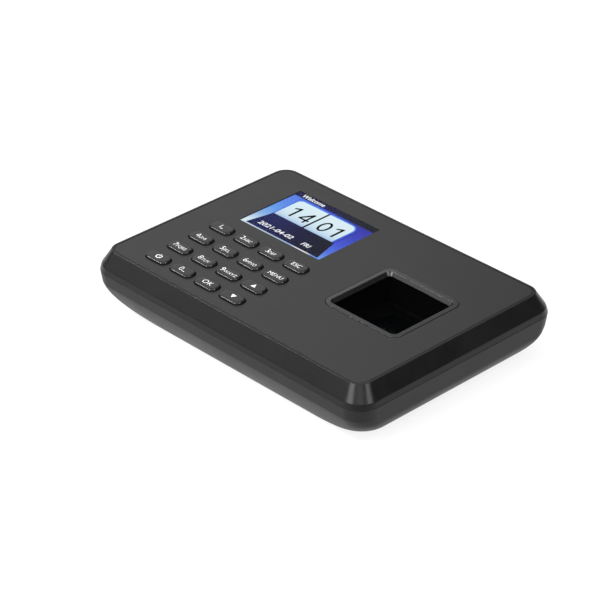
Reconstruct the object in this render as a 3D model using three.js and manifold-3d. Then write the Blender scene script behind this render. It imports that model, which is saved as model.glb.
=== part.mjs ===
// Fingerprint time clock with a colour display, sixteen keys and a deep finger well.
// Millimetres, +Z out of the face, +X to the reader's right, +Y towards the top of the display.
// The origin is the centre of the footprint, on the plane that the rubber feet stand on.
import * as THREE from "three";
import { mergeVertices } from "three/addons/utils/BufferGeometryUtils.js";
import Module from "manifold-3d";

const wasm = await Module();
wasm.setup();

// ---------------------------------------------------------------- casing dimensions

const FACE = { halfX: 89, halfY: 61.25, radius: 7.6 }; // flat front face
const BAND = { halfX: 93.75, halfY: 66, radius: 10.8 }; // where the chamfer meets the narrow side band
const GIRTH = { halfX: 94.5, halfY: 66.75, radius: 11.5 }; // widest outline, at the parting line
const BASE = { halfX: 80.5, halfY: 56.9, radius: 27.3 }; // flat back, which carries the feet

const BACK_Z = 1; // the feet hold the back this far off a table
const PARTING_Z = BACK_Z + 21.8;
const BAND_Z = PARTING_Z + 2.9;
const FACE_Z = BAND_Z + 7.8;

const WALL = 2.2;
const FLOOR_Z = BACK_Z + WALL; // inside of the back
const PARTING_GAP = 0.35; // groove between the two shells
const LIP = { height: 1.2, wall: 1 };
const CLEAR = 0.15; // assembly clearance
const GAP = 0.1; // between two pieces that bear on each other
const DRAFT = 0.1; // the walls of the rear shell close in by this much for each millimetre down
const TAPER_DEPTH = { x: 9.7, y: 6.3 }; // below the parting line, where the walls start to turn under
const TAPER_POWER = { x: 1.58, y: 1.18, radius: 6.85 }; // roundness of the turn
const TAPER_RINGS = { outside: 8, inside: 4 };

// ---------------------------------------------------------------- face dimensions

const PANEL = { inset: 1.35, gap: 0.25, thick: 1.1 }; // inlaid sheet that covers the face
const PANEL_Z = FACE_Z - PANEL.thick;
const PLATE_TOP_Z = PANEL_Z - GAP; // plate of the front shell behind the panel
const PLATE_Z = PLATE_TOP_Z - 1.8;

const SCREEN = { x: -36.1, y: 27.1, halfX: 28.4, halfY: 21.1 }; // window of a 2.8 inch display
const WINDOW_THICK = 0.45;
const LCD = { halfX: 34.4, halfY: 24.8, glass: 1.4, backlight: 2.2, tin: 0.4 };

const KEY_PITCH = { x: 17.8, y: 13.95 };
const FIRST_KEY = { x: -63.1, y: -7.1 };
const KEY = { halfX: 7.1, halfY: 3.8, radius: 3.1 };
const KEY_RISE = 1.1; // how far a key stands proud of the face
const KEY_CHAMFER = 0.6;
const KEY_GAP = 0.3; // between a key and the edge of its hole
const KEY_FLANGE = { grow: 1, thick: 0.8 };
const KEY_POST = 2.5;
const KEY_TRAVEL = 1;
const KEY_NAMES = [
  ["key_1", "key_2", "key_3", "key_escape"],
  ["key_4", "key_5", "key_6", "key_menu"],
  ["key_7", "key_8", "key_9", "key_up"],
  ["key_power", "key_0", "key_ok", "key_down"],
];
const FLANGE_TOP_Z = PLATE_Z - 2 * GAP;
const FLANGE_Z = FLANGE_TOP_Z - KEY_FLANGE.thick;
const MAT_TOP_Z = FLANGE_Z - KEY_TRAVEL - GAP;
const MAT_Z = MAT_TOP_Z - 1.2;
const KEYPAD_BOARD_Z = MAT_Z - GAP - 1.6;

const WELL = { x: 46.2, y: 2.5, halfX: 21.75, halfY: 20.5, radius: 2.6 }; // mouth of the finger well
const RING = { rim: 2.8, crown: 0.45, lip: 0.35, collar: 1.2 }; // flush ring around the mouth
const FUNNEL = { inset: 1, depth: 1.7, lip: 0.4, top: 0.2 }; // sloping lead-in inside the ring
const TUB_TOP_Z = PLATE_Z - 2 * GAP;
const TUB = { wall: 1.5, floor: 2.4, flange: 6, flangeThick: 1.4, shrink: 3 };
const FLANGE_SEAT_Z = TUB_TOP_Z - TUB.flangeThick;
const WELL_FLOOR_Z = FACE_Z - 13; // under the middle of the mouth
const WELL_TILT = THREE.MathUtils.degToRad(-10); // the floor falls towards the top of the case
const WELL_SCREW = { reach: 4.8, hole: 0.95, pilot: 0.8 }; // reach is from the middle of a corner's arc
const SENSOR = { halfX: 9, halfY: 11 };
const SENSOR_HOUSING = { halfX: 12, halfY: 15, height: 7.6 };

// ---------------------------------------------------------------- inside dimensions

const BOARD_THICK = 1.6;
const MAIN_BOARD = { x0: -90, x1: 12, halfY: 36, z: 21.4 };
const BOARD_TOP_Z = MAIN_BOARD.z + BOARD_THICK;
const BOARD_SCREW = { x0: -80, x1: 5, y: 30, hole: 1.4 };
const BOARD_BOSS = { radius: 3, pilot: 1.3 };
const KEYPAD_BOSS = { radius: 1.9, pilot: 1, hole: 1.1, matHole: 2.3 };

const CASE_SCREW = { x: 76, y: 43.5, seatZ: BACK_Z + 4.5, topZ: 20.5, hole: 1.7, recess: 3.2 };
const CASE_BOSS = { radius: 3.3, footZ: 12.3, pilot: 1.5 };
const TOWER = { radius: 4.6, topZ: 12 };
const FOOT = { x: 62, y: 36, radius: 5, sunk: 1 };

const PORT_X = -GIRTH.halfX + 1.1; // mouths of the sockets, just inside the left wall
const USB = { y: 16, halfY: 6.6, height: 5.8, length: 14, sheet: 0.4 };
const JACK = { y: -10, halfY: 4.5, height: 7.9, length: 14, nose: 3.7, bore: 3.1, pin: 1 };
const JACK_Z = MAIN_BOARD.z - GAP - JACK.height / 2;
const USB_Z = MAIN_BOARD.z - GAP - USB.height / 2;
const COIN_CELL = { x: -40, y: 15, radius: 10, thick: 3.2 };
const COIN_HOLDER = { wall: 1.3, roof: 0.5, sunk: 0.7 };
const PROCESSOR = { x: -50, y: 8, halfX: 7, halfY: 7, height: 1.4 };
const SPEAKER = { x: 28, y: -36, radius: 14 };
const SPEAKER_SEAT = { clear: 0.4, wall: 1.4, height: 3 };
const GRILLE = { slots: [-8, -4, 0, 4, 8], reach: 11, halfWidth: 0.8 };
const VENTS = { count: 6, x: -52, pitch: 6, halfWidth: 1, halfY: 12 };

// ---------------------------------------------------------------- colours

const finish = (color, roughness, metalness = 0) =>
  new THREE.MeshStandardMaterial({ color, roughness, metalness });
const BLACK_PLASTIC = finish(0x232425, 0.55);
const PANEL_BLACK = finish(0x2a2b2c, 0.6);
const WELL_BLACK = finish(0x050506, 0.45);
const RUBBER = finish(0x1b1c1d, 0.8);
const CLEAR_LENS = finish(0xdfe8f2, 0.05);
const DISPLAY_BLUE = finish(0x2436b0, 0.3);
const WHITE_PLASTIC = finish(0xe6e6e2, 0.5);
const GREEN_BOARD = finish(0x0f5a34, 0.5);
const CHIP_BLACK = finish(0x161616, 0.6);
const STEEL = finish(0xb9bcc0, 0.3, 1);
const AMBER_FLEX = finish(0xb8742a, 0.45);
const SENSOR_GLASS = finish(0x30424a, 0.05);
const GREY_CABLE = finish(0x8c8f93, 0.6);
const PAPER = finish(0x3a3a3c, 0.9);

const root = new THREE.Group();

// ---------------------------------------------------------------- making solids

/** Turns a closed three.js geometry into a manifold-3d solid with its faces pointing out. */
function solid(geometry) {
  const bare = geometry.index ? geometry.toNonIndexed() : geometry.clone();
  for (const name of Object.keys(bare.attributes)) {
    if (name !== "position") bare.deleteAttribute(name);
  }
  const merged = mergeVertices(bare, 1e-4);
  const triangles = [];
  for (let i = 0; i < merged.index.count; i += 3) {
    const [a, b, c] = merged.index.array.slice(i, i + 3);
    if (a !== b && b !== c && c !== a) triangles.push([a, b, c]);
  }
  const vertProperties = merged.attributes.position.array;
  const make = (faces) =>
    new wasm.Manifold(new wasm.Mesh({ numProp: 3, vertProperties, triVerts: new Uint32Array(faces.flat()) }));
  const made = make(triangles);
  return made.volume() > 0 ? made : make(triangles.map(([a, b, c]) => [a, c, b]));
}

/** Turns a manifold-3d solid back into a three.js geometry. */
function geometryOf(made) {
  const { numProp, vertProperties, triVerts } = made.getMesh();
  const position = new Float32Array((vertProperties.length / numProp) * 3);
  for (let i = 0; i < position.length / 3; i++) {
    position.set(vertProperties.subarray(i * numProp, i * numProp + 3), i * 3);
  }
  const geometry = new THREE.BufferGeometry();
  geometry.setAttribute("position", new THREE.BufferAttribute(position, 3));
  geometry.setIndex(new THREE.BufferAttribute(triVerts, 1));
  geometry.computeVertexNormals();
  return geometry;
}

const joined = (first, ...others) => others.reduce((all, next) => all.add(next), first);
const cut = (body, ...tools) => tools.reduce((left, tool) => left.subtract(tool), body);

function addMesh(name, body, material, parent = root) {
  const mesh = new THREE.Mesh(geometryOf(body), material);
  mesh.name = name;
  parent.add(mesh);
}

/** A rectangle with round corners, as a closed THREE.Shape. */
function roundedRect({ halfX, halfY, radius, x = 0, y = 0 }) {
  const quarter = Math.PI / 2;
  const shape = new THREE.Shape();
  shape.absarc(x + halfX - radius, y - halfY + radius, radius, -quarter, 0);
  shape.absarc(x + halfX - radius, y + halfY - radius, radius, 0, quarter);
  shape.absarc(x - halfX + radius, y + halfY - radius, radius, quarter, 2 * quarter);
  shape.absarc(x - halfX + radius, y - halfY + radius, radius, 2 * quarter, 3 * quarter);
  return shape;
}

/** A flat shape made solid between two heights. */
function prism(shape, z0, z1, curveSegments = 3) {
  const geometry = new THREE.ExtrudeGeometry(shape, { depth: z1 - z0, bevelEnabled: false, curveSegments });
  return solid(geometry.translate(0, 0, z0));
}

function box(x0, x1, y0, y1, z0, z1) {
  const geometry = new THREE.BoxGeometry(x1 - x0, y1 - y0, z1 - z0);
  return solid(geometry.translate((x0 + x1) / 2, (y0 + y1) / 2, (z0 + z1) / 2));
}

const plate = ({ x, y, halfX, halfY }, z0, z1) => box(x - halfX, x + halfX, y - halfY, y + halfY, z0, z1);

/** An upright cylinder. */
function post(x, y, radius, z0, z1, sides = 16) {
  const geometry = new THREE.CylinderGeometry(radius, radius, z1 - z0, sides);
  return solid(geometry.rotateX(Math.PI / 2).translate(x, y, (z0 + z1) / 2));
}

/** A cylinder that lies along X. */
function rod(x0, x1, y, z, radius, sides = 20) {
  const geometry = new THREE.CylinderGeometry(radius, radius, x1 - x0, sides);
  return solid(geometry.rotateZ(Math.PI / 2).translate((x0 + x1) / 2, y, z));
}

/** A turned piece from [radius, height] points that start and end on its axis. */
function turned(profile, x, y, sides = 24) {
  const points = profile.map(([radius, z]) => new THREE.Vector2(radius, z));
  return solid(new THREE.LatheGeometry(points, sides).rotateX(Math.PI / 2).translate(x, y, 0));
}

function outline({ halfX, halfY, radius, z, x = 0, y = 0 }, steps) {
  const corners = [
    [1, 1],
    [-1, 1],
    [-1, -1],
    [1, -1],
  ];
  return corners.flatMap(([sideX, sideY], quarter) =>
    Array.from({ length: steps + 1 }, (_, i) => {
      const angle = ((quarter + i / steps) * Math.PI) / 2;
      const cornerX = x + sideX * (halfX - radius);
      const cornerY = y + sideY * (halfY - radius);
      return [cornerX + radius * Math.cos(angle), cornerY + radius * Math.sin(angle), z];
    }),
  );
}

/** A solid skinned over rounded rectangles stacked upwards, closed by flat ends. */
function loft(rings, steps = 5) {
  const outlines = rings.map((ring) => outline(ring, steps));
  const count = outlines[0].length;
  const index = [];
  for (let level = 0; level + 1 < outlines.length; level++) {
    for (let i = 0; i < count; i++) {
      const a = level * count + i;
      const b = level * count + ((i + 1) % count);
      index.push(a, b, b + count, a, b + count, a + count);
    }
  }
  const last = (outlines.length - 1) * count;
  for (let i = 1; i + 1 < count; i++) {
    index.push(0, i + 1, i);
    index.push(last, last + i, last + i + 1);
  }
  const geometry = new THREE.BufferGeometry();
  geometry.setAttribute("position", new THREE.Float32BufferAttribute(outlines.flat(2), 3));
  geometry.setIndex(index);
  return solid(geometry);
}

/** The same rounded rectangle with its edge moved out by a distance. */
const grown = (rect, by) => ({
  ...rect,
  halfX: rect.halfX + by,
  halfY: rect.halfY + by,
  radius: rect.radius + by,
});

// ---------------------------------------------------------------- places of repeated things

const keyPlaces = KEY_NAMES.flatMap((names, row) =>
  names.map((name, column) => ({
    name,
    x: FIRST_KEY.x + column * KEY_PITCH.x,
    y: FIRST_KEY.y - row * KEY_PITCH.y,
  })),
);

const corners = [
  ["front_left", -1, -1],
  ["front_right", 1, -1],
  ["back_left", -1, 1],
  ["back_right", 1, 1],
];
const caseScrews = corners.map(([where, sideX, sideY]) => ({
  where,
  x: sideX * CASE_SCREW.x,
  y: sideY * CASE_SCREW.y,
}));
const feet = corners.map(([where, sideX, sideY]) => ({ where, x: sideX * FOOT.x, y: sideY * FOOT.y }));
const boardScrews = corners.map(([where, sideX, sideY]) => ({
  where,
  x: sideX < 0 ? BOARD_SCREW.x0 : BOARD_SCREW.x1,
  y: sideY * BOARD_SCREW.y,
}));

// The keypad screws stand where four keys meet, so that they pass between the flanges.
const keypadScrews = [
  { where: "left", x: FIRST_KEY.x + 0.5 * KEY_PITCH.x, y: FIRST_KEY.y - 0.5 * KEY_PITCH.y },
  { where: "right", x: FIRST_KEY.x + 2.5 * KEY_PITCH.x, y: FIRST_KEY.y - 2.5 * KEY_PITCH.y },
];

const wellScrews = [
  ["front", -1],
  ["back", 1],
].map(([where, side]) => {
  const reach = WELL_SCREW.reach - WELL.radius;
  return { where, x: WELL.x + side * (WELL.halfX + reach), y: WELL.y + side * (WELL.halfY + reach) };
});

// ---------------------------------------------------------------- casing

/** Half of the rear shell's width or depth at a distance below the parting line. */
function taperHalf(girth, base, below, start, power) {
  const full = PARTING_Z - BACK_Z;
  const share = THREE.MathUtils.clamp((below - start) / (full - start), 0, 1);
  const turn = 1 - (1 - share ** power) ** (1 / power);
  return girth - DRAFT * below - (girth - base - DRAFT * full) * turn;
}

/** Outline of the rear shell at a distance below the parting line, shrunk by a wall. */
function taperRing(below, shrink) {
  const share = (below / (PARTING_Z - BACK_Z)) ** TAPER_POWER.radius;
  return {
    halfX: taperHalf(GIRTH.halfX, BASE.halfX, below, TAPER_DEPTH.x, TAPER_POWER.x) - shrink,
    halfY: taperHalf(GIRTH.halfY, BASE.halfY, below, TAPER_DEPTH.y, TAPER_POWER.y) - shrink,
    radius: GIRTH.radius + (BASE.radius - GIRTH.radius) * share - shrink,
    z: PARTING_Z - below,
  };
}

/** Rings from a height up to where the walls start to turn, closer together where they turn most. */
function taperRings(shrink, bottomZ, count) {
  const start = TAPER_DEPTH.y;
  const reach = PARTING_Z - bottomZ - start;
  return Array.from({ length: count + 1 }, (_, i) => {
    const share = Math.cos((Math.PI / 2) * (i / count));
    return taperRing(start + reach * share, shrink);
  });
}

function frontShell() {
  const bottomZ = PARTING_Z + PARTING_GAP / 2;
  const outside = loft([
    { ...GIRTH, z: bottomZ },
    { ...BAND, z: BAND_Z },
    { ...FACE, z: FACE_Z },
  ]);
  const lipRoom = grown(GIRTH, LIP.wall - WALL + CLEAR);
  const inside = loft([
    { ...lipRoom, z: bottomZ - 1 },
    { ...lipRoom, z: PARTING_Z + LIP.height + CLEAR },
    { ...grown(GIRTH, -WALL), z: PARTING_Z + LIP.height + CLEAR },
    { ...grown(BAND, -WALL), z: BAND_Z - 0.6 },
    { ...grown(FACE, -0.8), z: PLATE_Z },
  ]);
  const recess = prism(roundedRect(grown(FACE, -PANEL.inset)), PLATE_TOP_Z, FACE_Z + 1);
  const rootZ = PLATE_Z + 0.4; // bosses start inside the plate
  const body = joined(
    cut(outside, inside, recess),
    ...caseScrews.map(({ x, y }) => post(x, y, CASE_BOSS.radius, CASE_BOSS.footZ, rootZ)),
    ...boardScrews.map(({ x, y }) => post(x, y, BOARD_BOSS.radius, BOARD_TOP_Z + GAP, rootZ)),
    ...keypadScrews.map(({ x, y }) => post(x, y, KEYPAD_BOSS.radius, MAT_Z, rootZ, 12)),
  );
  const through = [PLATE_Z - 1, PLATE_TOP_Z + 1];
  const lcdRoom = { ...SCREEN, halfX: LCD.halfX + 2 * CLEAR, halfY: LCD.halfY + 2 * CLEAR };
  const tools = [
    ...keyPlaces.map(({ x, y }) => prism(roundedRect({ ...grown(KEY, KEY_GAP), x, y }), ...through, 2)),
    plate(lcdRoom, ...through),
    prism(roundedRect(grown(WELL, TUB.wall)), ...through),
    ...caseScrews.map(({ x, y }) => post(x, y, CASE_BOSS.pilot, 0, CASE_SCREW.topZ + 1, 12)),
    ...boardScrews.map(({ x, y }) => post(x, y, BOARD_BOSS.pilot, 0, PLATE_Z - 2, 10)),
    ...keypadScrews.map(({ x, y }) => post(x, y, KEYPAD_BOSS.pilot, 0, PLATE_Z - 0.2, 8)),
    ...wellScrews.map(({ x, y }) => post(x, y, WELL_SCREW.pilot, 0, PLATE_TOP_Z - 0.4, 8)),
  ];
  addMesh("front_shell", cut(body, ...tools), BLACK_PLASTIC);
}

function rearShell() {
  const topZ = PARTING_Z - PARTING_GAP / 2;
  const insideZ = FLOOR_Z + 1; // for tools that pass through the floor
  const outside = loft([...taperRings(0, BACK_Z, TAPER_RINGS.outside), { ...taperRing(0, 0), z: topZ }]);
  const inside = loft([
    ...taperRings(WALL, FLOOR_Z, TAPER_RINGS.inside),
    { ...grown(GIRTH, -WALL), z: topZ + 1 },
  ]);
  const lip = cut(
    prism(roundedRect(grown(GIRTH, LIP.wall - WALL)), topZ - 0.5, PARTING_Z + LIP.height),
    prism(roundedRect(grown(GIRTH, -WALL)), topZ - 1, PARTING_Z + LIP.height + 1),
  );
  const towers = caseScrews.map(({ x, y }) =>
    post(x, y, TOWER.radius, BACK_Z, TOWER.topZ).intersect(outside),
  );
  const seatRadius = SPEAKER.radius + SPEAKER_SEAT.clear;
  const seatTopZ = FLOOR_Z + SPEAKER_SEAT.height;
  const speakerSeat = cut(
    post(SPEAKER.x, SPEAKER.y, seatRadius + SPEAKER_SEAT.wall, FLOOR_Z - 0.5, seatTopZ, 24),
    post(SPEAKER.x, SPEAKER.y, seatRadius, FLOOR_Z - 1, seatTopZ + 1, 24),
  );
  const body = joined(cut(outside, inside), lip, ...towers, speakerSeat);

  const grille = GRILLE.slots.map((offset) => {
    const halfX = Math.sqrt(GRILLE.reach ** 2 - offset ** 2);
    return plate({ x: SPEAKER.x, y: SPEAKER.y + offset, halfX, halfY: GRILLE.halfWidth }, 0, insideZ);
  });
  const vents = Array.from({ length: VENTS.count }, (_, i) =>
    plate({ x: VENTS.x + i * VENTS.pitch, y: 0, halfX: VENTS.halfWidth, halfY: VENTS.halfY }, 0, insideZ),
  );
  const [usbHalfY, usbHalfZ] = [USB.halfY + 2 * CLEAR, USB.height / 2 + 2 * CLEAR];
  const [portX0, portX1] = [PORT_X - 5, PORT_X + 5];
  const tools = [
    ...caseScrews.map(({ x, y }) => post(x, y, CASE_SCREW.recess, 0, CASE_SCREW.seatZ)),
    ...caseScrews.map(({ x, y }) => post(x, y, CASE_SCREW.hole, 0, TOWER.topZ + 1, 12)),
    ...feet.map(({ x, y }) => post(x, y, FOOT.radius + CLEAR, 0, BACK_Z + FOOT.sunk, 24)),
    ...grille,
    ...vents,
    box(portX0, portX1, USB.y - usbHalfY, USB.y + usbHalfY, USB_Z - usbHalfZ, USB_Z + usbHalfZ),
    rod(portX0, portX1, JACK.y, JACK_Z, JACK.nose + CLEAR),
  ];
  addMesh("rear_shell", cut(body, ...tools), BLACK_PLASTIC);
}

function rubberFeet() {
  const top = BACK_Z + FOOT.sunk - GAP;
  const profile = [
    [0, 0],
    [FOOT.radius - 0.8, 0],
    [FOOT.radius, 0.6],
    [FOOT.radius, top],
    [0, top],
  ];
  for (const { where, x, y } of feet) addMesh(`foot_${where}`, turned(profile, x, y), RUBBER);
}

/** A screw driven upwards, with its head below seatZ. */
function addScrew(name, { x, y }, { seatZ, topZ, head, headHeight, shank }) {
  const headZ = seatZ - headHeight;
  const bar = head * 0.6;
  const blank = joined(post(x, y, head, headZ, seatZ, 12), post(x, y, shank, seatZ - 0.2, topZ, 6));
  const recess = joined(
    box(x - bar, x + bar, y - head / 8, y + head / 8, headZ - 1, headZ + headHeight / 2),
    box(x - head / 8, x + head / 8, y - bar, y + bar, headZ - 1, headZ + headHeight / 2),
  );
  addMesh(name, cut(blank, recess), STEEL);
}

function screws() {
  const sizes = {
    case: { seatZ: CASE_SCREW.seatZ - GAP, topZ: CASE_SCREW.topZ, head: 2.8, headHeight: 2, shank: 1.4 },
    board: { seatZ: MAIN_BOARD.z - GAP, topZ: PLATE_Z - 3, head: 2.4, headHeight: 1.4, shank: 1.1 },
    keypad: { seatZ: KEYPAD_BOARD_Z - GAP, topZ: PLATE_Z - 0.6, head: 1.8, headHeight: 1.1, shank: 0.85 },
    well: { seatZ: FLANGE_SEAT_Z - GAP, topZ: PLATE_Z + 1.2, head: 1.8, headHeight: 1, shank: 0.65 },
  };
  for (const place of caseScrews) addScrew(`case_screw_${place.where}`, place, sizes.case);
  for (const place of boardScrews) addScrew(`board_screw_${place.where}`, place, sizes.board);
  for (const place of keypadScrews) addScrew(`keypad_screw_${place.where}`, place, sizes.keypad);
  for (const place of wellScrews) addScrew(`well_screw_${place.where}`, place, sizes.well);
}

// ---------------------------------------------------------------- face

function facePanel() {
  const sheet = prism(roundedRect(grown(FACE, -PANEL.inset - PANEL.gap)), PANEL_Z, FACE_Z);
  const through = [PANEL_Z - 1, FACE_Z + 1];
  const tools = [
    ...keyPlaces.map(({ x, y }) => prism(roundedRect({ ...grown(KEY, KEY_GAP), x, y }), ...through, 2)),
    plate({ ...SCREEN, halfX: SCREEN.halfX + CLEAR, halfY: SCREEN.halfY + CLEAR }, ...through),
    prism(roundedRect(grown(WELL, RING.rim + PANEL.gap)), ...through),
  ];
  addMesh("face_panel", cut(sheet, ...tools), PANEL_BLACK);
}

function keys() {
  const cap = { ...KEY, z: FACE_Z + KEY_RISE - KEY_CHAMFER };
  const flange = grown(KEY, KEY_FLANGE.grow);
  const rings = [
    { ...flange, z: FLANGE_Z },
    { ...flange, z: FLANGE_TOP_Z },
    { ...KEY, z: FLANGE_TOP_Z },
    cap,
    { ...grown(KEY, -KEY_CHAMFER), z: FACE_Z + KEY_RISE },
  ];
  for (const { name, x, y } of keyPlaces) {
    const button = loft(rings.map((ring) => ({ ...ring, x, y })), 3);
    const plunger = post(x, y, KEY_POST, MAT_TOP_Z + GAP, FLANGE_Z + GAP, 8);
    addMesh(name, joined(button, plunger), RUBBER);
  }
}

function keypad() {
  const middle = {
    x: FIRST_KEY.x + 1.5 * KEY_PITCH.x,
    y: FIRST_KEY.y - 1.5 * KEY_PITCH.y,
  };
  const sheet = { ...middle, halfX: 1.5 * KEY_PITCH.x + 9, halfY: 1.5 * KEY_PITCH.y + 5.6 };
  const holes = [
    ...keyPlaces.map(({ x, y }) => post(x, y, KEY_POST + 0.7, MAT_Z - 1, MAT_TOP_Z + 1, 10)),
    ...keypadScrews.map(({ x, y }) => post(x, y, KEYPAD_BOSS.matHole, MAT_Z - 1, MAT_TOP_Z + 1, 8)),
  ];
  addMesh("keypad_mat", cut(plate(sheet, MAT_Z, MAT_TOP_Z), ...holes), RUBBER);
  const board = plate(sheet, KEYPAD_BOARD_Z, KEYPAD_BOARD_Z + BOARD_THICK);
  const screwHoles = keypadScrews.map(({ x, y }) => post(x, y, KEYPAD_BOSS.hole, 0, FACE_Z, 8));
  addMesh("keypad_board", cut(board, ...screwHoles), GREEN_BOARD);
}

function display() {
  addMesh("display_window", plate(SCREEN, FACE_Z - WINDOW_THICK, FACE_Z - GAP / 2), CLEAR_LENS);

  // The lit area stands up into the panel's window, and the rest of the glass lies under the panel.
  const topZ = PLATE_TOP_Z - GAP;
  const cell = { ...SCREEN, halfX: LCD.halfX - 1.2, halfY: LCD.halfY - 1.2 };
  const lit = { ...SCREEN, halfX: SCREEN.halfX - CLEAR, halfY: SCREEN.halfY - CLEAR };
  const glassZ = topZ - LCD.glass;
  const glass = joined(plate(cell, glassZ, topZ), plate(lit, glassZ, FACE_Z - WINDOW_THICK - GAP));
  addMesh("lcd_panel", glass, DISPLAY_BLUE);

  const lightZ = glassZ - 2 * GAP - LCD.backlight;
  addMesh("backlight", plate(cell, lightZ, lightZ + LCD.backlight), WHITE_PLASTIC);

  const room = { ...SCREEN, halfX: LCD.halfX - 2 * LCD.tin, halfY: LCD.halfY - 2 * LCD.tin };
  const trayZ = lightZ - 2 * GAP - LCD.tin;
  const tray = cut(
    plate({ ...SCREEN, halfX: LCD.halfX, halfY: LCD.halfY }, trayZ, topZ),
    plate(room, trayZ + LCD.tin, FACE_Z),
  );
  addMesh("lcd_tray", tray, STEEL);
}

// ---------------------------------------------------------------- finger well

/** Everything below a tilted plane that passes under the middle of the well at z. */
function belowWellFloor(z) {
  const reach = 60;
  const geometry = new THREE.BoxGeometry(2 * reach, 2 * reach, reach).translate(0, 0, -reach / 2);
  return solid(geometry.rotateX(WELL_TILT).translate(WELL.x, WELL.y, z));
}

/** Section of the tub, which narrows from its mouth to its floor. */
function tubSection(z, grow) {
  const narrowing = (TUB.shrink * (TUB_TOP_Z - z)) / (TUB_TOP_Z - WELL_FLOOR_Z);
  return { ...grown(WELL, grow - narrowing), radius: WELL.radius + grow, z };
}

function fingerWell() {
  const rim = grown(WELL, RING.rim);
  const collar = grown(WELL, RING.collar);
  const ring = joined(
    loft([
      { ...rim, z: PANEL_Z },
      { ...rim, z: FACE_Z - GAP / 2 },
      { ...grown(WELL, RING.lip), z: FACE_Z + RING.crown },
    ]),
    prism(roundedRect(collar), PLATE_Z + GAP, PANEL_Z + GAP),
  );
  const throat = grown(WELL, -FUNNEL.inset);
  const throatZ = FACE_Z - FUNNEL.depth;
  const mouth = grown(WELL, FUNNEL.top);
  const hole = loft([
    { ...WELL, z: 0 },
    { ...WELL, z: throatZ - 1.5 * FUNNEL.lip },
    { ...throat, z: throatZ - FUNNEL.lip },
    { ...throat, z: throatZ },
    { ...mouth, z: FACE_Z + RING.crown },
    { ...mouth, z: FACE_Z + 2 },
  ]);
  addMesh("well_ring", cut(ring, hole), PANEL_BLACK);

  const lowZ = WELL_FLOOR_Z - 8;
  const flange = prism(roundedRect(grown(WELL, TUB.flange)), FLANGE_SEAT_Z, TUB_TOP_Z);
  const outside = loft([tubSection(lowZ, TUB.wall), tubSection(TUB_TOP_Z, TUB.wall)]);
  const inside = loft([tubSection(lowZ, 0), tubSection(TUB_TOP_Z, 0), { ...WELL, z: FACE_Z }]);
  const window = plate({ ...WELL, halfX: SENSOR.halfX + CLEAR, halfY: SENSOR.halfY + CLEAR }, lowZ, FACE_Z);
  const tub = cut(
    joined(cut(outside, belowWellFloor(WELL_FLOOR_Z - TUB.floor)), flange),
    cut(inside, belowWellFloor(WELL_FLOOR_Z)),
    window,
    ...wellScrews.map(({ x, y }) => post(x, y, WELL_SCREW.hole, 0, FACE_Z, 8)),
  );
  addMesh("well_tub", tub, WELL_BLACK);
}

function sensor() {
  const group = new THREE.Group();
  group.position.set(WELL.x, WELL.y, WELL_FLOOR_Z);
  group.rotation.x = WELL_TILT;
  root.add(group);
  const centred = (halfX, halfY) => ({ x: 0, y: 0, halfX, halfY });
  const glassTilt = 0.25; // keeps the tilted glass clear of the upright sides of its window
  const glass = centred(SENSOR.halfX, SENSOR.halfY - glassTilt);
  const { halfX, halfY, height } = SENSOR_HOUSING;
  const housingTop = -TUB.floor - 3 * GAP;
  const housingZ = housingTop - height;
  const boardTop = housingZ - 3 * GAP;
  addMesh("sensor_glass", plate(glass, -TUB.floor, -GAP), SENSOR_GLASS, group);
  addMesh("sensor_housing", plate(centred(halfX, halfY), housingZ, housingTop), CHIP_BLACK, group);
  addMesh("sensor_board", plate(centred(halfX - 1, halfY - 1), boardTop - 1.2, boardTop), GREEN_BOARD, group);
}

// ---------------------------------------------------------------- electronics

function mainBoard() {
  const { x0, x1, halfY, z } = MAIN_BOARD;
  const holes = boardScrews.map(({ x, y }) => post(x, y, BOARD_SCREW.hole, 0, FACE_Z, 10));
  addMesh("main_board", cut(box(x0, x1, -halfY, halfY, z, BOARD_TOP_Z), ...holes), GREEN_BOARD);

  const chipZ = BOARD_TOP_Z + GAP;
  addMesh("processor", plate(PROCESSOR, chipZ, chipZ + PROCESSOR.height), CHIP_BLACK);

  const { x, y, radius, thick } = COIN_CELL;
  const { wall, roof, sunk } = COIN_HOLDER;
  const holderZ = z - GAP;
  const cellZ = holderZ - sunk;
  const holder = cut(
    post(x, y, radius + 2 * CLEAR + wall, cellZ - thick - 2 * GAP, holderZ, 24),
    post(x, y, radius + 2 * CLEAR, 0, holderZ - roof, 24),
  );
  addMesh("coin_cell_holder", holder, CHIP_BLACK);
  addMesh("coin_cell", post(x, y, radius, cellZ - thick, cellZ, 24), STEEL);
}

function usbSocket() {
  const { y, halfY, height, length, sheet } = USB;
  const x1 = PORT_X + length;
  const [z0, z1] = [USB_Z - height / 2, USB_Z + height / 2];
  const shell = cut(
    box(PORT_X, x1, y - halfY, y + halfY, z0, z1),
    box(PORT_X - 1, x1 - sheet, y - halfY + sheet, y + halfY - sheet, z0 + sheet, z1 - sheet),
  );
  addMesh("usb_shell", shell, STEEL);
  const tongueHalf = halfY - 1.1;
  const tongue = box(PORT_X + 1, x1 - sheet - GAP, y - tongueHalf, y + tongueHalf, USB_Z + 0.2, USB_Z + 2);
  addMesh("usb_tongue", tongue, WHITE_PLASTIC);
}

function powerJack() {
  const { y, halfY, height, length, nose, bore, pin } = JACK;
  const bodyX = PORT_X + 3;
  const x1 = PORT_X + length;
  const body = joined(
    box(bodyX, x1, y - halfY, y + halfY, JACK_Z - height / 2, JACK_Z + height / 2),
    rod(PORT_X, bodyX + 1, y, JACK_Z, nose),
  );
  const hollow = cut(body, rod(PORT_X - 1, x1 - 2, y, JACK_Z, bore));
  addMesh("power_jack", joined(hollow, rod(PORT_X + 1, x1 - 1, y, JACK_Z, pin, 12)), CHIP_BLACK);
}

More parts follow.
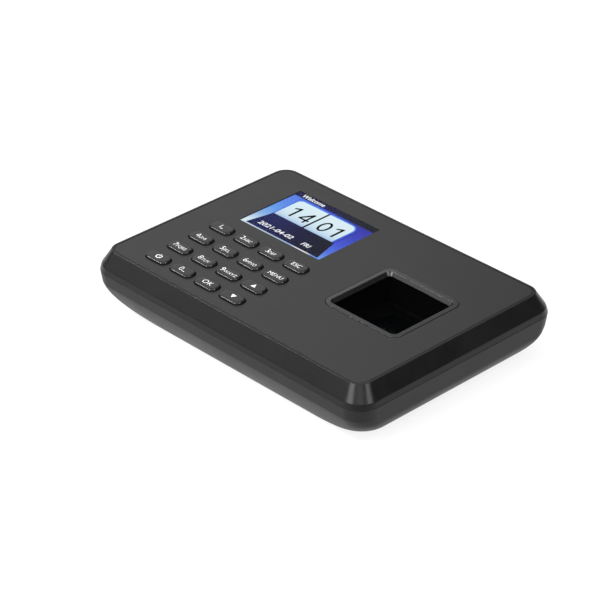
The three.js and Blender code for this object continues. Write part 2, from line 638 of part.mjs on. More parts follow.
function speaker() {
  const { x, y, radius } = SPEAKER;
  const z = FLOOR_Z + 2 * GAP;
  const frame = [
    [0, z + 2.4],
    [radius - 1.2, z + 2],
    [radius - 1.2, z],
    [radius, z],
    [radius, z + 2.6],
    [radius / 2, z + 3],
    [radius / 2, z + 5.4],
    [0, z + 5.4],
  ];
  const cone = [
    [0, z + 1.2],
    [radius / 4, z + 1.4],
    [radius - 1.5, z + 0.4],
    [radius - 1.5, z + 0.8],
    [radius / 4, z + 1.9],
    [0, z + 1.7],
  ];
  addMesh("speaker_frame", turned(frame, x, y), STEEL);
  addMesh("speaker_cone", turned(cone, x, y), PAPER);
}

/** A flat strip of constant thickness that follows [x, z] points, and is as wide as y0 to y1. */
function addStrip(name, points, y0, y1, thick, material) {
  const path = points.map(([x, z]) => new THREE.Vector2(x, z));
  const side = (sign) =>
    path.map((point, i) => {
      const before = path[Math.max(i - 1, 0)];
      const after = path[Math.min(i + 1, path.length - 1)];
      const along = after.clone().sub(before).normalize();
      return new THREE.Vector2(-along.y, along.x).multiplyScalar((sign * thick) / 2).add(point);
    });
  const shape = new THREE.Shape([...side(1), ...side(-1).reverse()]);
  const geometry = new THREE.ExtrudeGeometry(shape, { depth: y1 - y0, bevelEnabled: false });
  addMesh(name, solid(geometry.rotateX(Math.PI / 2).translate(0, y1, 0)), material);
}

function ribbons() {
  const overBoard = BOARD_TOP_Z + 0.3;
  const lcdSide = SCREEN.x + LCD.halfX;
  const displayRoute = [
    [lcdSide + 0.6, PLATE_Z - 2],
    [lcdSide + 1.6, PLATE_Z - 3],
    [lcdSide + 2, PLATE_Z - 5],
    [lcdSide + 0.8, overBoard + 0.4],
    [lcdSide - 1, overBoard],
    [lcdSide - 5, overBoard],
  ];
  addStrip("display_ribbon", displayRoute, 17, 27, 0.25, AMBER_FLEX);

  const underKeypad = KEYPAD_BOARD_Z - 0.3;
  const middle = (overBoard + underKeypad) / 2;
  const keypadRoute = [
    [-42, underKeypad],
    [-35, underKeypad],
    [-34.1, middle + 0.5],
    [-34.1, middle - 0.5],
    [-35, overBoard],
    [-42, overBoard],
  ];
  addStrip("keypad_ribbon", keypadRoute, -22, -10, 0.25, AMBER_FLEX);

  const underBoard = MAIN_BOARD.z - 0.6;
  const sensorSide = WELL.x - SENSOR_HOUSING.halfX - 0.8;
  const sensorRoute = [
    [sensorSide, 8.2],
    [sensorSide - 8, 8],
    [sensorSide - 15, 10],
    [sensorSide - 19, 16],
    [sensorSide - 22, underBoard - 0.8],
    [sensorSide - 26, underBoard],
    [sensorSide - 32, underBoard],
  ];
  addStrip("sensor_cable", sensorRoute, 2, 8, 0.6, GREY_CABLE);
}

frontShell();
rearShell();
rubberFeet();
facePanel();
keys();
keypad();
display();
fingerWell();
sensor();
mainBoard();
usbSocket();
powerJack();
speaker();
ribbons();
screws();

export default root;
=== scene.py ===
"""Fingerprint time clock: the visual model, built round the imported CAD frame.

Metres, +Z out of the face, +X to the reader's right, +Y towards the top of the display.
Places come from the boxes of the CAD nodes. Sizes that no box gives are named below, in metres.
"""

import math

import bmesh
import bpy
from mathutils import Matrix, Vector


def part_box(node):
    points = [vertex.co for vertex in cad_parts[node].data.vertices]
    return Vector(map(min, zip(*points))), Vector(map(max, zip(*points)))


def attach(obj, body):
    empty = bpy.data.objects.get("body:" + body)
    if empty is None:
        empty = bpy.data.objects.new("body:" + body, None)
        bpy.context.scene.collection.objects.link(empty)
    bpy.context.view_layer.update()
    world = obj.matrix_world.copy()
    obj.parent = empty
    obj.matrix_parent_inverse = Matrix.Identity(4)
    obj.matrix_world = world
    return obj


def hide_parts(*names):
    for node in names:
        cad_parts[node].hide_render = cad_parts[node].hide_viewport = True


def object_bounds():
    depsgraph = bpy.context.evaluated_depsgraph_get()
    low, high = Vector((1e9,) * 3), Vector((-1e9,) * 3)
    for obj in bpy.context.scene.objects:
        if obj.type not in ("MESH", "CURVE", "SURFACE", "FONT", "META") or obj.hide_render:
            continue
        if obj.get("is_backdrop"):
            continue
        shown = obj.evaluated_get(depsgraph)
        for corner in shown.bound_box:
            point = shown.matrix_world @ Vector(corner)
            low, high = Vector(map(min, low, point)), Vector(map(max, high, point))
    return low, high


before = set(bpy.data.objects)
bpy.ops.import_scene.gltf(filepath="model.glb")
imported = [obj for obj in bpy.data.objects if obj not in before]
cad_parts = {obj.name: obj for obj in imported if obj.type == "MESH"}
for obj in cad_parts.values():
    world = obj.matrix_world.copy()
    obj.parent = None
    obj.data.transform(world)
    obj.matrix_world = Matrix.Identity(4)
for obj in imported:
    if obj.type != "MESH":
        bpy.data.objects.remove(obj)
cad_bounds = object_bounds()

MM = 0.001

# ------------ places from the frame


def middle(node):
    low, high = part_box(node)
    return (low + high) / 2


def footprint(node):
    """The middle and the half sizes of a node, seen from above."""
    low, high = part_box(node)
    return ((low.x + high.x) / 2, (low.y + high.y) / 2), ((high.x - low.x) / 2, (high.y - low.y) / 2)


def grown(half, by):
    return (half[0] + by, half[1] + by)


front_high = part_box("front_shell")[1]
rear_low, rear_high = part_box("rear_shell")
panel_low, panel_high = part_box("face_panel")
GIRTH = (front_high.x, front_high.y)
FACE_Z = panel_high.z
BACK_Z = rear_low.z
RING_LOW_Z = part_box("well_ring")[0].z
TUB_TOP_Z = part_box("well_tub")[1].z
LCD_TOP_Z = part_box("lcd_panel")[1].z
SCREEN_CENTRE, SCREEN_HALF = footprint("display_window")

# ------------ sizes of the casing

LIP_HEIGHT = 1.2 * MM
LIP_WALL = 1.0 * MM
PARTING_Z = rear_high.z - LIP_HEIGHT
PARTING_GAP = 0.14 * MM
PARTING_EDGE = 0.12 * MM
BAND_Z = PARTING_Z + 2.9 * MM
BAND_INSET = 0.75 * MM  # the band of the front shell leans in by this much
BAND_EDGE = 2.5 * MM  # rounding between the band and the chamfer
WALL = 2.2 * MM
FLOOR_Z = BACK_Z + WALL
CHAMFER = 5.5 * MM  # from the widest outline to the edge of the face
GIRTH_RADIUS = 11.5 * MM
FACE_RADIUS = 7.6 * MM
BASE_RADIUS = 27.3 * MM
BASE_INSET = (14 * MM, 9.85 * MM)
DRAFT = 0.1  # the rear walls close in by this share of the depth
TAPER_DEPTH = (9.7 * MM, 6.3 * MM)  # below the parting line, where the walls start to turn
TAPER_POWER = (1.58, 1.18)
TAPER_RADIUS_POWER = 6.85
TAPER_RINGS = 32
CORNER_STEPS = 20

RECESS_INSET = 1.35 * MM  # from the edge of the face to the recess that holds the panel
PANEL_RIM = GIRTH[0] - CHAMFER - panel_high.x  # from the edge of the face to the panel
PLATE_TOP_Z = panel_low.z - 0.1 * MM  # of the plate of the front shell, just behind the panel
PLATE_THICK = 1.8 * MM
PLATE_Z = PLATE_TOP_Z - PLATE_THICK
PLATE_INSET = 0.8 * MM  # from the top of the chamfer to the underside of the plate
BAND_DROP = 0.6 * MM  # from the top of the band down to the turn inside the wall
FACE_EDGE = 0.35 * MM  # rounding where the chamfer meets the face
TRAY_GAP = 0.3 * MM
PORT_GAP = 0.3 * MM
PORT_REACH = 5 * MM  # of a port's cutter to either side of the socket's mouth
JACK_HOLE_RADIUS = 3.85 * MM

TOWER_RADIUS = 4.6 * MM
TOWER_LOW_Z = BACK_Z + 1.8 * MM
TOWER_TOP_Z = 12 * MM
COUNTERBORE_RADIUS = 3.2 * MM
COUNTERBORE_Z = BACK_Z + 4.5 * MM
SCREW_HOLE_RADIUS = 1.7 * MM
FOOT_POCKET_DEPTH = 1 * MM
FOOT_POCKET_GAP = 0.15 * MM
GRILLE_ROWS = 5
GRILLE_PITCH = 4 * MM
GRILLE_RADIUS = 11 * MM
GRILLE_HALF_WIDTH = 0.8 * MM
VENT_COUNT = 6
VENT_PITCH = 6 * MM
VENT_HALF_WIDTH = 1 * MM
VENT_HALF_LENGTH = 12 * MM
VENTS_X = -52 * MM

# ------------ sizes on the face

KEY_NAMES = (
    ("key_1", "key_2", "key_3", "key_escape"),
    ("key_4", "key_5", "key_6", "key_menu"),
    ("key_7", "key_8", "key_9", "key_up"),
    ("key_power", "key_0", "key_ok", "key_down"),
)
KEY_FLANGE = 1 * MM
KEY_FLANGE_THICK = 0.8 * MM
KEY_FLANGE_GAP = 0.2 * MM  # between the flange and the plate above it
KEY_RADIUS = 3.1 * MM
KEY_EDGE = 0.85 * MM
KEY_CROWN = 0.07 * MM  # rise of the cap from its edge to its flat middle
KEY_SLOPE = 1.7 * MM  # from the edge of the cap to its flat middle
KEY_SLOPE_EDGE = 0.6 * MM
KEY_FLAT = 0.9 * MM  # width of the last ring of faces on the flat middle
KEY_WORDS = {
    "key_escape": ("ESC", 2.6 * MM),
    "key_menu": ("MENU", 2.4 * MM),
    "key_ok": ("OK", 3 * MM),
}
KEY_LETTERS = ("_", "_", "ABC", "DEF", "GHI", "JKL", "MNO", "PQRS", "TUV", "WXYZ")  # from 0 to 9
LEGEND_WEIGHT = -0.012  # change in the weight of the letters: these are lighter than the font
LEGEND_RAISE = 0.3 * MM  # of a legend towards the top of the clock, from the middle of its key
LINE = 0.36 * MM
ARROW = (2.9 * MM, 2.6 * MM)
POWER_RADIUS = 1.75 * MM
POWER_OPENING = math.radians(38)  # to each side of the bar
DIGIT_HEIGHT = 3.1 * MM
LETTER_HEIGHT = 1.92 * MM
LETTER_GAP = 0.35 * MM
SPACE_GAP = 0.6 * MM
SPACE_LENGTH = 1.8 * MM
KEY_HOLE_GAP = 0.3 * MM
HOLE_EDGE = 0.12 * MM  # rounding of the panel's cut edges
WINDOW_GAP = 0.15 * MM
WINDOW_CORNER = 0.4 * MM
RING_RIM = 2.8 * MM
RING_GAP = 0.25 * MM
RING_RISE = 0.22 * MM  # of the inner edge of the ring above the face
RING_RADIUS = 2.6 * MM
RING_COLLAR = 1.2 * MM
RING_EDGES = (0.08 * MM, 0.12 * MM, 0.35 * MM, 0.16 * MM)  # roundings, from the throat out to the rim
WELL_CENTRE, RING_HALF = footprint("well_ring")
WELL_HALF = grown(RING_HALF, -RING_RIM)
FUNNEL = (1 * MM, 1.7 * MM)  # inset and depth of the sloping lead-in inside the ring
FUNNEL_LIP = 0.4 * MM
FUNNEL_TOP = 0.25 * MM
TUB_WALL = 1.5 * MM
TUB_SHRINK = 3 * MM
TUB_CURVE = 2.2 * MM
TUB_FLOOR_RING = 4 * MM
TUB_FLANGE = 6 * MM
TUB_FLANGE_THICK = 1.4 * MM
WELL_DEPTH = 13 * MM
WELL_TILT = math.radians(10)
WELL_FLOOR_THICK = 2.4 * MM
WELL_FLOOR_DEPTH = WELL_DEPTH - (FACE_Z - TUB_TOP_Z)
SCAN_HALF = (9 * MM, 10.75 * MM)
SCAN_HOLE_HALF = (9.15 * MM, 11.15 * MM)
SCAN_HOLE_REACH = 8 * MM
SCAN_SUNK = 0.1 * MM
SCAN_EDGE = 0.35 * MM
INK = 0.012 * MM  # thickness of the print on the keys
SCREEN_STEP = 0.015 * MM  # between the layers of the picture on the display
SCREEN_GLOW = 0.93

# ------------ sizes of the sockets, feet and screws

USB_SHEET = 0.4 * MM
USB_EDGE = 0.12 * MM
USB_CORNER = 0.6 * MM
USB_CONTACT_PITCH = 2.4 * MM
USB_CONTACT_HALF = 0.5 * MM
USB_CONTACT_THICK = 0.1 * MM
JACK_NOSE_RADIUS = 3.7 * MM
JACK_NOSE_LENGTH = 3 * MM
JACK_BORE_RADIUS = 3.1 * MM
JACK_BORE_DEPTH = 12 * MM
JACK_PIN_RADIUS = 1 * MM
FOOT_HOLLOW = 0.25 * MM  # the middle of a foot stands this far off the table
SCREW_HEAD = 2 * MM
SCREW_SHANK = 1.4 * MM
SCREW_ROOT = 1.12 * MM  # radius between the threads
SCREW_PITCH = 0.8 * MM
RECESS_DEPTH = 1.4 * MM
RECESS_TAPER = 0.55

# ------------ mesh helpers


def rounded_outline(half, radius, z, centre=(0.0, 0.0), tilt=0.0, steps=CORNER_STEPS):
    """Points round a rectangle with round corners, anticlockwise seen from above."""
    radius = max(radius, 0.02 * MM)
    points = []
    for quarter, (side_x, side_y) in enumerate(((1, 1), (-1, 1), (-1, -1), (1, -1))):
        for step in range(steps + 1):
            angle = (quarter + step / steps) * math.pi / 2
            x = side_x * (half[0] - radius) + radius * math.cos(angle)
            y = side_y * (half[1] - radius) + radius * math.sin(angle)
            points.append((centre[0] + x, centre[1] + y, z + tilt * y))
    return points


def circle(centre, radius, z, sides):
    angles = [2 * math.pi * i / sides for i in range(sides)]
    return [(centre[0] + radius * math.cos(a), centre[1] + radius * math.sin(a), z) for a in angles]


def skin(rings, closed=False):
    """A bmesh skinned over stacked outlines: capped at both ends, or closed into a loop."""
    bm = bmesh.new()
    rows = [[bm.verts.new(point) for point in ring] for ring in rings]
    above = rows[1:] + rows[:1] if closed else rows[1:]
    count = len(rows[0])
    for low, high in zip(rows, above):
        for i in range(count):
            j = (i + 1) % count
            bm.faces.new((low[i], low[j], high[j], high[i]))
    if not closed:
        bm.faces.new(list(reversed(rows[0])))
        bm.faces.new(rows[-1])
    bmesh.ops.remove_doubles(bm, verts=bm.verts, dist=1e-7)
    bmesh.ops.recalc_face_normals(bm, faces=bm.faces)
    return bm


def fillet(*corners, steps=6):
    """Rounds a profile of (a, b, radius) corners into a list of (a, b) points."""
    points = [Vector(corners[0][:2])]
    for before, corner, after in zip(corners, corners[1:], corners[2:]):
        at = Vector(corner[:2])
        if corner[2] == 0:
            points.append(at)
            continue
        back = (Vector(before[:2]) - at).normalized()
        ahead = (Vector(after[:2]) - at).normalized()
        half_angle = back.angle(ahead) / 2
        reach = corner[2] / math.tan(half_angle)
        centre = at + (back + ahead).normalized() * corner[2] / math.sin(half_angle)
        start = at + back * reach - centre
        end = at + ahead * reach - centre
        turn = start.angle(end)
        for step in range(steps + 1):
            share = step / steps
            arm = start * math.sin((1 - share) * turn) + end * math.sin(share * turn)
            points.append(centre + arm / math.sin(turn))
    points.append(Vector(corners[-1][:2]))
    return points


def framed(profile, half, radius, centre=(0.0, 0.0), radius_share=1.0, steps=CORNER_STEPS):
    """Outlines for a profile of (inset, z) points carried round a rounded rectangle."""
    return [
        rounded_outline(
            (half[0] - inset, half[1] - inset), radius - inset * radius_share, z, centre, steps=steps
        )
        for inset, z in profile
    ]


def turned(profile, centre, sides=40):
    """A bmesh turned about an upright axis from (radius, z) points."""
    return skin([circle(centre, radius, z, sides) for radius, z in profile])


def cylinder(centre, radius, low_z, high_z, sides=48):
    return turned([(radius, low_z), (radius, high_z)], centre, sides)


def laid_along_x(bm, centre):
    """Turns a bmesh made upright about the origin so that its axis lies along +X from centre."""
    turn = Matrix.Rotation(math.pi / 2, 4, "Y")
    bmesh.ops.transform(bm, matrix=Matrix.Translation(centre) @ turn, verts=bm.verts)
    return bm


def box_outline(x0, y0, x1, y1):
    return [(x0, y0), (x1, y0), (x1, y1), (x0, y1)]


def slab(outline, low_z, high_z):
    """A flat outline with straight sides between two heights."""
    return skin([[(x, y, z) for x, y in outline] for z in (low_z, high_z)])


def block(low, high):
    return slab(box_outline(low[0], low[1], high[0], high[1]), low[2], high[2])


def around(x, y, radius, angles):
    """Points on a circle about (x, y)."""
    return [(x + radius * math.cos(a), y + radius * math.sin(a)) for a in angles]


def bevelled(bm, width, segments=3):
    edges = [edge for edge in bm.edges if edge.calc_face_angle(0) > math.radians(40)]
    bmesh.ops.bevel(bm, geom=edges, offset=width, segments=segments, profile=0.5, affect="EDGES")
    return bm


def moved(bm, x, y, z):
    bmesh.ops.translate(bm, verts=bm.verts, vec=(x, y, z))
    return bm


def add_object(name, data):
    obj = bpy.data.objects.new(name, data)
    bpy.context.scene.collection.objects.link(obj)
    return obj


def evaluated(obj):
    """A bmesh of what an object shows, with its modifiers applied."""
    shown = obj.evaluated_get(bpy.context.evaluated_depsgraph_get())
    bm = bmesh.new()
    bm.from_mesh(shown.to_mesh())
    shown.to_mesh_clear()
    return bm


def gathered(parts):
    """Several bmeshes as one mesh."""
    mesh = bpy.data.meshes.new("parts")
    whole = bmesh.new()
    for part in parts:
        part.to_mesh(mesh)
        whole.from_mesh(mesh)
        part.free()
    bpy.data.meshes.remove(mesh)
    return whole


def carved(bm, cutters, operation="DIFFERENCE"):
    """The bmesh after an exact boolean with several cutters that stand clear of each other."""
    objects = []
    for part in (bm, gathered(cutters)):
        mesh = bpy.data.meshes.new("carving")
        part.to_mesh(mesh)
        part.free()
        objects.append(add_object("carving", mesh))
    target, cutter = objects
    modifier = target.modifiers.new("carving", "BOOLEAN")
    modifier.operation = operation
    modifier.solver = "EXACT"
    modifier.object = cutter
    result = evaluated(target)
    for obj in objects:
        mesh = obj.data
        bpy.data.objects.remove(obj)
        bpy.data.meshes.remove(mesh)
    bmesh.ops.remove_doubles(result, verts=result.verts, dist=1e-7)
    bmesh.ops.dissolve_degenerate(result, edges=result.edges, dist=1e-7)
    return result


def piece(name, bm, material, replaces=(), body="casing", sharp=32):
    """Makes a finished piece: smooth faces with sharp edges kept, a material and a body."""
    for face in bm.faces:
        face.smooth = True
    for edge in bm.edges:
        edge.smooth = len(edge.link_faces) == 2 and edge.calc_face_angle(0) < math.radians(sharp)
    mesh = bpy.data.meshes.new(name)
    bm.to_mesh(mesh)
    bm.free()
    mesh.materials.append(material)
    obj = add_object(name, mesh)
    normals = obj.modifiers.new("normals", "WEIGHTED_NORMAL")
    normals.keep_sharp = True
    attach(obj, body)
    if replaces:
        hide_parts(*replaces)


# ------------ materials


def colour(code):
    """Linear colour of an sRGB code such as "2f3032"."""
    channels = [int(code[i : i + 2], 16) / 255 for i in (0, 2, 4)]
    linear = [c / 12.92 if c <= 0.04045 else ((c + 0.055) / 1.055) ** 2.4 for c in channels]
    return (*linear, 1.0)


def dimmed(code, share):
    return (*(channel * share for channel in colour(code)[:3]), 1.0)


class Shader:
    """A Principled material and short names for the nodes that feed it."""

    def __init__(self, name, **values):
        self.material = bpy.data.materials.new(name)
        self.material.use_nodes = True
        self.nodes = self.material.node_tree.nodes
        self.links = self.material.node_tree.links
        self.base = self.nodes["Principled BSDF"]
        for socket, value in values.items():
            self.base.inputs[socket.replace("_", " ")].default_value = value
        self.place = self.nodes.new("ShaderNodeTexCoord").outputs["Object"]

    def node(self, kind, inputs=None, **settings):
        made = self.nodes.new(kind)
        for setting, value in settings.items():
            setattr(made, setting, value)
        for socket, value in (inputs or {}).items():
            if isinstance(value, bpy.types.NodeSocket):
                self.links.new(value, made.inputs[socket])
            else:
                made.inputs[socket].default_value = value
        return made

    def noise(self, size, detail=3.0, stretch=(1, 1, 1)):
        """Noise whose features are about size metres across, from 0 to 1."""
        place = self.node("ShaderNodeMapping", {"Vector": self.place, "Scale": stretch})
        inputs = {"Vector": place.outputs[0], "Scale": 1 / size, "Detail": detail}
        return self.node("ShaderNodeTexNoise", inputs).outputs["Fac"]

    def spread(self, value, low, high, start=0.3, end=0.7):
        """Maps a 0 to 1 value to the range low to high."""
        inputs = {"Value": value, "From Min": start, "From Max": end, "To Min": low, "To Max": high}
        return self.node("ShaderNodeMapRange", inputs).outputs["Result"]

    def mixed(self, share, first, second):
        mix = self.node("ShaderNodeMix", {0: share, 6: first, 7: second}, data_type="RGBA")
        return mix.outputs[2]

    def tone(self, share, first, second):
        self.feed("Base Color", self.mixed(self.spread(share, 0, 1), first, second))

    def bump(self, height, distance, strength=1.0, normal=None):
        inputs = {"Height": height, "Distance": distance, "Strength": strength}
        if normal:
            inputs["Normal"] = normal
        return self.node("ShaderNodeBump", inputs).outputs["Normal"]

    def feed(self, socket, value):
        self.links.new(value, self.base.inputs[socket])


def moulded_plastic(name, dark, light, roughness, grain, depth, specular=0.5):
    """Plastic from a textured mould: fine grain, and slow changes of tone and gloss."""
    shader = Shader(name, Roughness=roughness, Specular_IOR_Level=specular)
    slow = shader.noise(18 * MM, detail=4)
    fine = shader.noise(grain, detail=2)
    shader.tone(slow, colour(dark), colour(light))
    patchy = shader.spread(slow, roughness - 0.03, roughness + 0.03)
    speckle = shader.spread(fine, -0.02, 0.02)
    total = shader.node("ShaderNodeMath", {0: patchy, 1: speckle}, operation="ADD")
    shader.feed("Roughness", total.outputs[0])
    coarse = shader.bump(shader.noise(grain * 6, detail=2), depth * 1.5, 0.5)
    shader.feed("Normal", shader.bump(fine, depth, 0.6, coarse))
    return shader.material


def rubber(name, dark, light, roughness):
    shader = Shader(name, Roughness=roughness, Specular_IOR_Level=0.4)
    slow = shader.noise(3 * MM)
    shader.tone(slow, colour(dark), colour(light))
    shader.feed("Roughness", shader.spread(slow, roughness - 0.04, roughness + 0.05))
    shader.feed("Normal", shader.bump(shader.noise(0.12 * MM), 0.004 * MM, 0.5))
    return shader.material


def printed_ink(name, code):
    """Screen-printed ink, slightly uneven where the screen left it thin."""
    shader = Shader(name, Roughness=0.45)
    thin = shader.noise(0.25 * MM)
    shader.tone(thin, dimmed(code, 0.86), colour(code))
    shader.feed("Normal", shader.bump(thin, 0.003 * MM, 0.4))
    return shader.material


def brushed_metal(name, code, roughness, along=(1, 12, 12)):
    shader = Shader(name, Metallic=1.0, Roughness=roughness)
    hair = shader.noise(0.6 * MM, detail=5, stretch=along)
    shader.tone(hair, dimmed(code, 0.8), colour(code))
    shader.feed("Roughness", shader.spread(hair, roughness - 0.06, roughness + 0.1))
    shader.feed("Normal", shader.bump(hair, 0.004 * MM, 0.4))
    return shader.material


def circuit_board(name):
    """Green solder mask over faint tracks, with a grid of tinned vias."""
    shader = Shader(name, Roughness=0.35)
    greys = {"Color1": (1, 1, 1, 1), "Color2": (0.7, 0.7, 0.7, 1), "Mortar": (0, 0, 0, 1)}
    sizes = {"Vector": shader.place, "Scale": 260.0, "Mortar Size": 0.05}
    tracks = shader.node("ShaderNodeTexBrick", {**sizes, **greys})
    dots = shader.node("ShaderNodeTexVoronoi", {"Vector": shader.place, "Scale": 240.0})
    via = shader.spread(dots.outputs["Distance"], 1, 0, 0.08, 0.11)
    mask = shader.mixed(tracks.outputs["Fac"], colour("12603a"), colour("0b4327"))
    shader.feed("Base Color", shader.mixed(via, mask, colour("c9c4a8")))
    shader.feed("Normal", shader.bump(tracks.outputs["Fac"], 0.02 * MM, 0.5))
    return shader.material


def clear_window(name):
    """Clear acrylic with a coat that takes off its glare, and fine wiping marks."""
    shader = Shader(name, IOR=1.05, Transmission_Weight=1.0, Base_Color=(0.98, 0.99, 1.0, 1.0))
    marks = shader.noise(7 * MM, detail=4, stretch=(1, 4, 1))
    shader.feed("Roughness", shader.spread(marks, 0.0, 0.03))
    return shader.material


def dark_glass(name, dark, light, roughness, coat):
    shader = Shader(name, IOR=1.5, Roughness=roughness, Coat_Weight=coat)
    haze = shader.noise(5 * MM, detail=4)
    shader.tone(haze, colour(dark), colour(light))
    shader.feed("Roughness", shader.spread(haze, roughness, roughness + 0.05))
    return shader.material


def plain_finish(name, dark, light, roughness, size=2 * MM):
    """Small parts that are moulded or printed in one colour."""
    shader = Shader(name, Roughness=roughness)
    slow = shader.noise(size)
    shader.tone(slow, colour(dark), colour(light))
    shader.feed("Roughness", shader.spread(slow, roughness - 0.05, roughness + 0.05))
    shader.feed("Normal", shader.bump(shader.noise(size / 8), 0.006 * MM, 0.5))
    return shader.material


casing_black = moulded_plastic("casing_black", "0f0f0f", "121212", 0.3, 0.22 * MM, 0.005 * MM, 0.29)
rear_black = moulded_plastic("rear_black", "0f0f0f", "121212", 0.42, 0.3 * MM, 0.012 * MM, 0.24)
panel_black = moulded_plastic("panel_black", "181818", "1b1b1b", 0.42, 0.16 * MM, 0.003 * MM)
ring_black = moulded_plastic("ring_black", "0e0e0e", "101010", 0.28, 0.16 * MM, 0.0006 * MM, 0.7)
# Near-black with almost no gloss: black plastic, darkened further as painted shade for the depth of the
# finger well
well_black_painted_shade = moulded_plastic("well_black_painted_shade", "020202", "030303", 0.7, 0.2 * MM, 0.004 * MM, 0.02)
key_black = rubber("key_black", "141414", "181818", 0.2)
mat_black = rubber("mat_black", "1d1d1e", "242425", 0.8)
legend_white = printed_ink("legend_white", "f6f6f4")
clear_acrylic = clear_window("clear_acrylic")
lcd_glass = dark_glass("lcd_glass", "0c0d12", "101118", 0.08, 0.6)
scan_glass = dark_glass("scan_glass", "010202", "030405", 0.06, 0.1)
white_plastic = plain_finish("white_plastic", "d8d8d2", "e8e8e3", 0.45)
chip_black = plain_finish("chip_black", "131313", "1b1b1b", 0.55)
port_black = plain_finish("port_black", "0e0e0f", "151516", 0.42)
amber_film = plain_finish("amber_film", "9a5a1c", "b8742a", 0.35)
grey_cable = plain_finish("grey_cable", "7d8084", "94979b", 0.6)
paper_cone = plain_finish("paper_cone", "303032", "3e3e40", 0.9, 0.8 * MM)
green_board = circuit_board("green_board")
plated_steel = brushed_metal("plated_steel", "c9ccd0", 0.28)
screw_steel = brushed_metal("screw_steel", "b4b7bb", 0.3, (6, 6, 1))
gold_contact = brushed_metal("gold_contact", "e2b45a", 0.25)

# ------------ casing


def taper(below, shrink):
    """Half sizes, corner radius and height of the rear shell at a depth below the parting line."""
    full = PARTING_Z - BACK_Z
    half = []
    for girth, inset, start, power in zip(GIRTH, BASE_INSET, TAPER_DEPTH, TAPER_POWER):
        share = min(max((below - start) / (full - start), 0.0), 1.0)
        turn = 1 - (1 - share**power) ** (1 / power)
        half.append(girth - DRAFT * below - (inset - DRAFT * full) * turn - shrink)
    radius = GIRTH_RADIUS + (BASE_RADIUS - GIRTH_RADIUS) * (below / full) ** TAPER_RADIUS_POWER
    return half, radius - shrink, PARTING_Z - below


def taper_rings(shrink, bottom_z):
    """Outlines from bottom_z up to where the walls turn, closer together where they turn most."""
    start = TAPER_DEPTH[1]
    reach = PARTING_Z - bottom_z - start
    shares = [math.cos(math.pi / 2 * step / TAPER_RINGS) for step in range(TAPER_RINGS + 1)]
    return [rounded_outline(*taper(start + reach * share, shrink)) for share in shares]


def key_places():
    """Each key's name and the middle and half sizes of its cap."""
    for row in KEY_NAMES:
        for name in row:
            centre, half = footprint(name)
            yield name, centre, grown(half, -KEY_FLANGE)


def rounded_block(half, radius, low_z, high_z, centre):
    return skin([rounded_outline(half, radius, z, centre, steps=10) for z in (low_z, high_z)])


def flared_cutter(half, radius, centre, low_z, top_z, steps=10):
    """A cutter whose hole gets a rounded rim where it meets the surface at top_z."""
    arc = [math.pi / 2 * step / 5 for step in range(6)]
    rim = [(-HOLE_EDGE * (1 - math.cos(a)), top_z - HOLE_EDGE * (1 - math.sin(a))) for a in arc]
    profile = [(0, low_z), *rim, (-HOLE_EDGE, top_z + MM)]
    return skin(framed(profile, half, radius, centre, steps=steps))


def front_shell():
    bottom_z = PARTING_Z + PARTING_GAP / 2
    radius_share = (GIRTH_RADIUS - FACE_RADIUS) / CHAMFER
    profile = fillet(
        (CHAMFER + PLATE_INSET, PLATE_Z, 0),
        (BAND_INSET + WALL, BAND_Z - BAND_DROP, 0),
        (WALL, bottom_z, 0),
        (0, bottom_z, PARTING_EDGE),
        (BAND_INSET, BAND_Z, BAND_EDGE),
        (CHAMFER, FACE_Z, FACE_EDGE),
        (CHAMFER + RECESS_INSET, FACE_Z, HOLE_EDGE),
        (CHAMFER + RECESS_INSET, PLATE_TOP_Z, 0),
    )
    body = skin(framed(profile, GIRTH, GIRTH_RADIUS, radius_share=radius_share))
    low, high = PLATE_Z - MM, PLATE_TOP_Z + MM
    cutters = [
        rounded_block(grown(half, KEY_HOLE_GAP), KEY_RADIUS, low, high, centre)
        for _, centre, half in key_places()
    ]
    tray_half = footprint("lcd_tray")[1]
    cutters.append(rounded_block(grown(tray_half, TRAY_GAP), TRAY_GAP, low, high, SCREEN_CENTRE))
    tub_half = grown(WELL_HALF, TUB_WALL)
    cutters.append(rounded_block(tub_half, RING_RADIUS + TUB_WALL, low, high, WELL_CENTRE))
    piece("front_casing", carved(body, cutters), casing_black, ["front_shell"])


def port_cutters():
    """Openings for the two sockets in the left wall."""
    low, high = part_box("usb_shell")
    start = (low.x - PORT_REACH, low.y - PORT_GAP, low.z - PORT_GAP)
    end = (low.x + PORT_REACH, high.y + PORT_GAP, high.z + PORT_GAP)
    jack = middle("power_jack")
    jack.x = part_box("power_jack")[0].x - PORT_REACH
    hole = cylinder((0, 0), JACK_HOLE_RADIUS, 0, 2 * PORT_REACH)
    return [block(start, end), laid_along_x(hole, jack)]


def back_slots():
    """Speaker grille and vents in the floor of the rear shell."""
    low, high = BACK_Z - MM, FLOOR_Z + MM
    speaker = middle("speaker_frame")
    for row in range(GRILLE_ROWS):
        offset = (row - (GRILLE_ROWS - 1) / 2) * GRILLE_PITCH
        half = (math.sqrt(GRILLE_RADIUS**2 - offset**2), GRILLE_HALF_WIDTH)
        yield rounded_block(half, GRILLE_HALF_WIDTH, low, high, (speaker.x, speaker.y + offset))
    half = (VENT_HALF_WIDTH, VENT_HALF_LENGTH)
    for column in range(VENT_COUNT):
        yield rounded_block(half, VENT_HALF_WIDTH, low, high, (VENTS_X + column * VENT_PITCH, 0))


def nodes_named(kind):
    return sorted(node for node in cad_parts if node.startswith(kind))


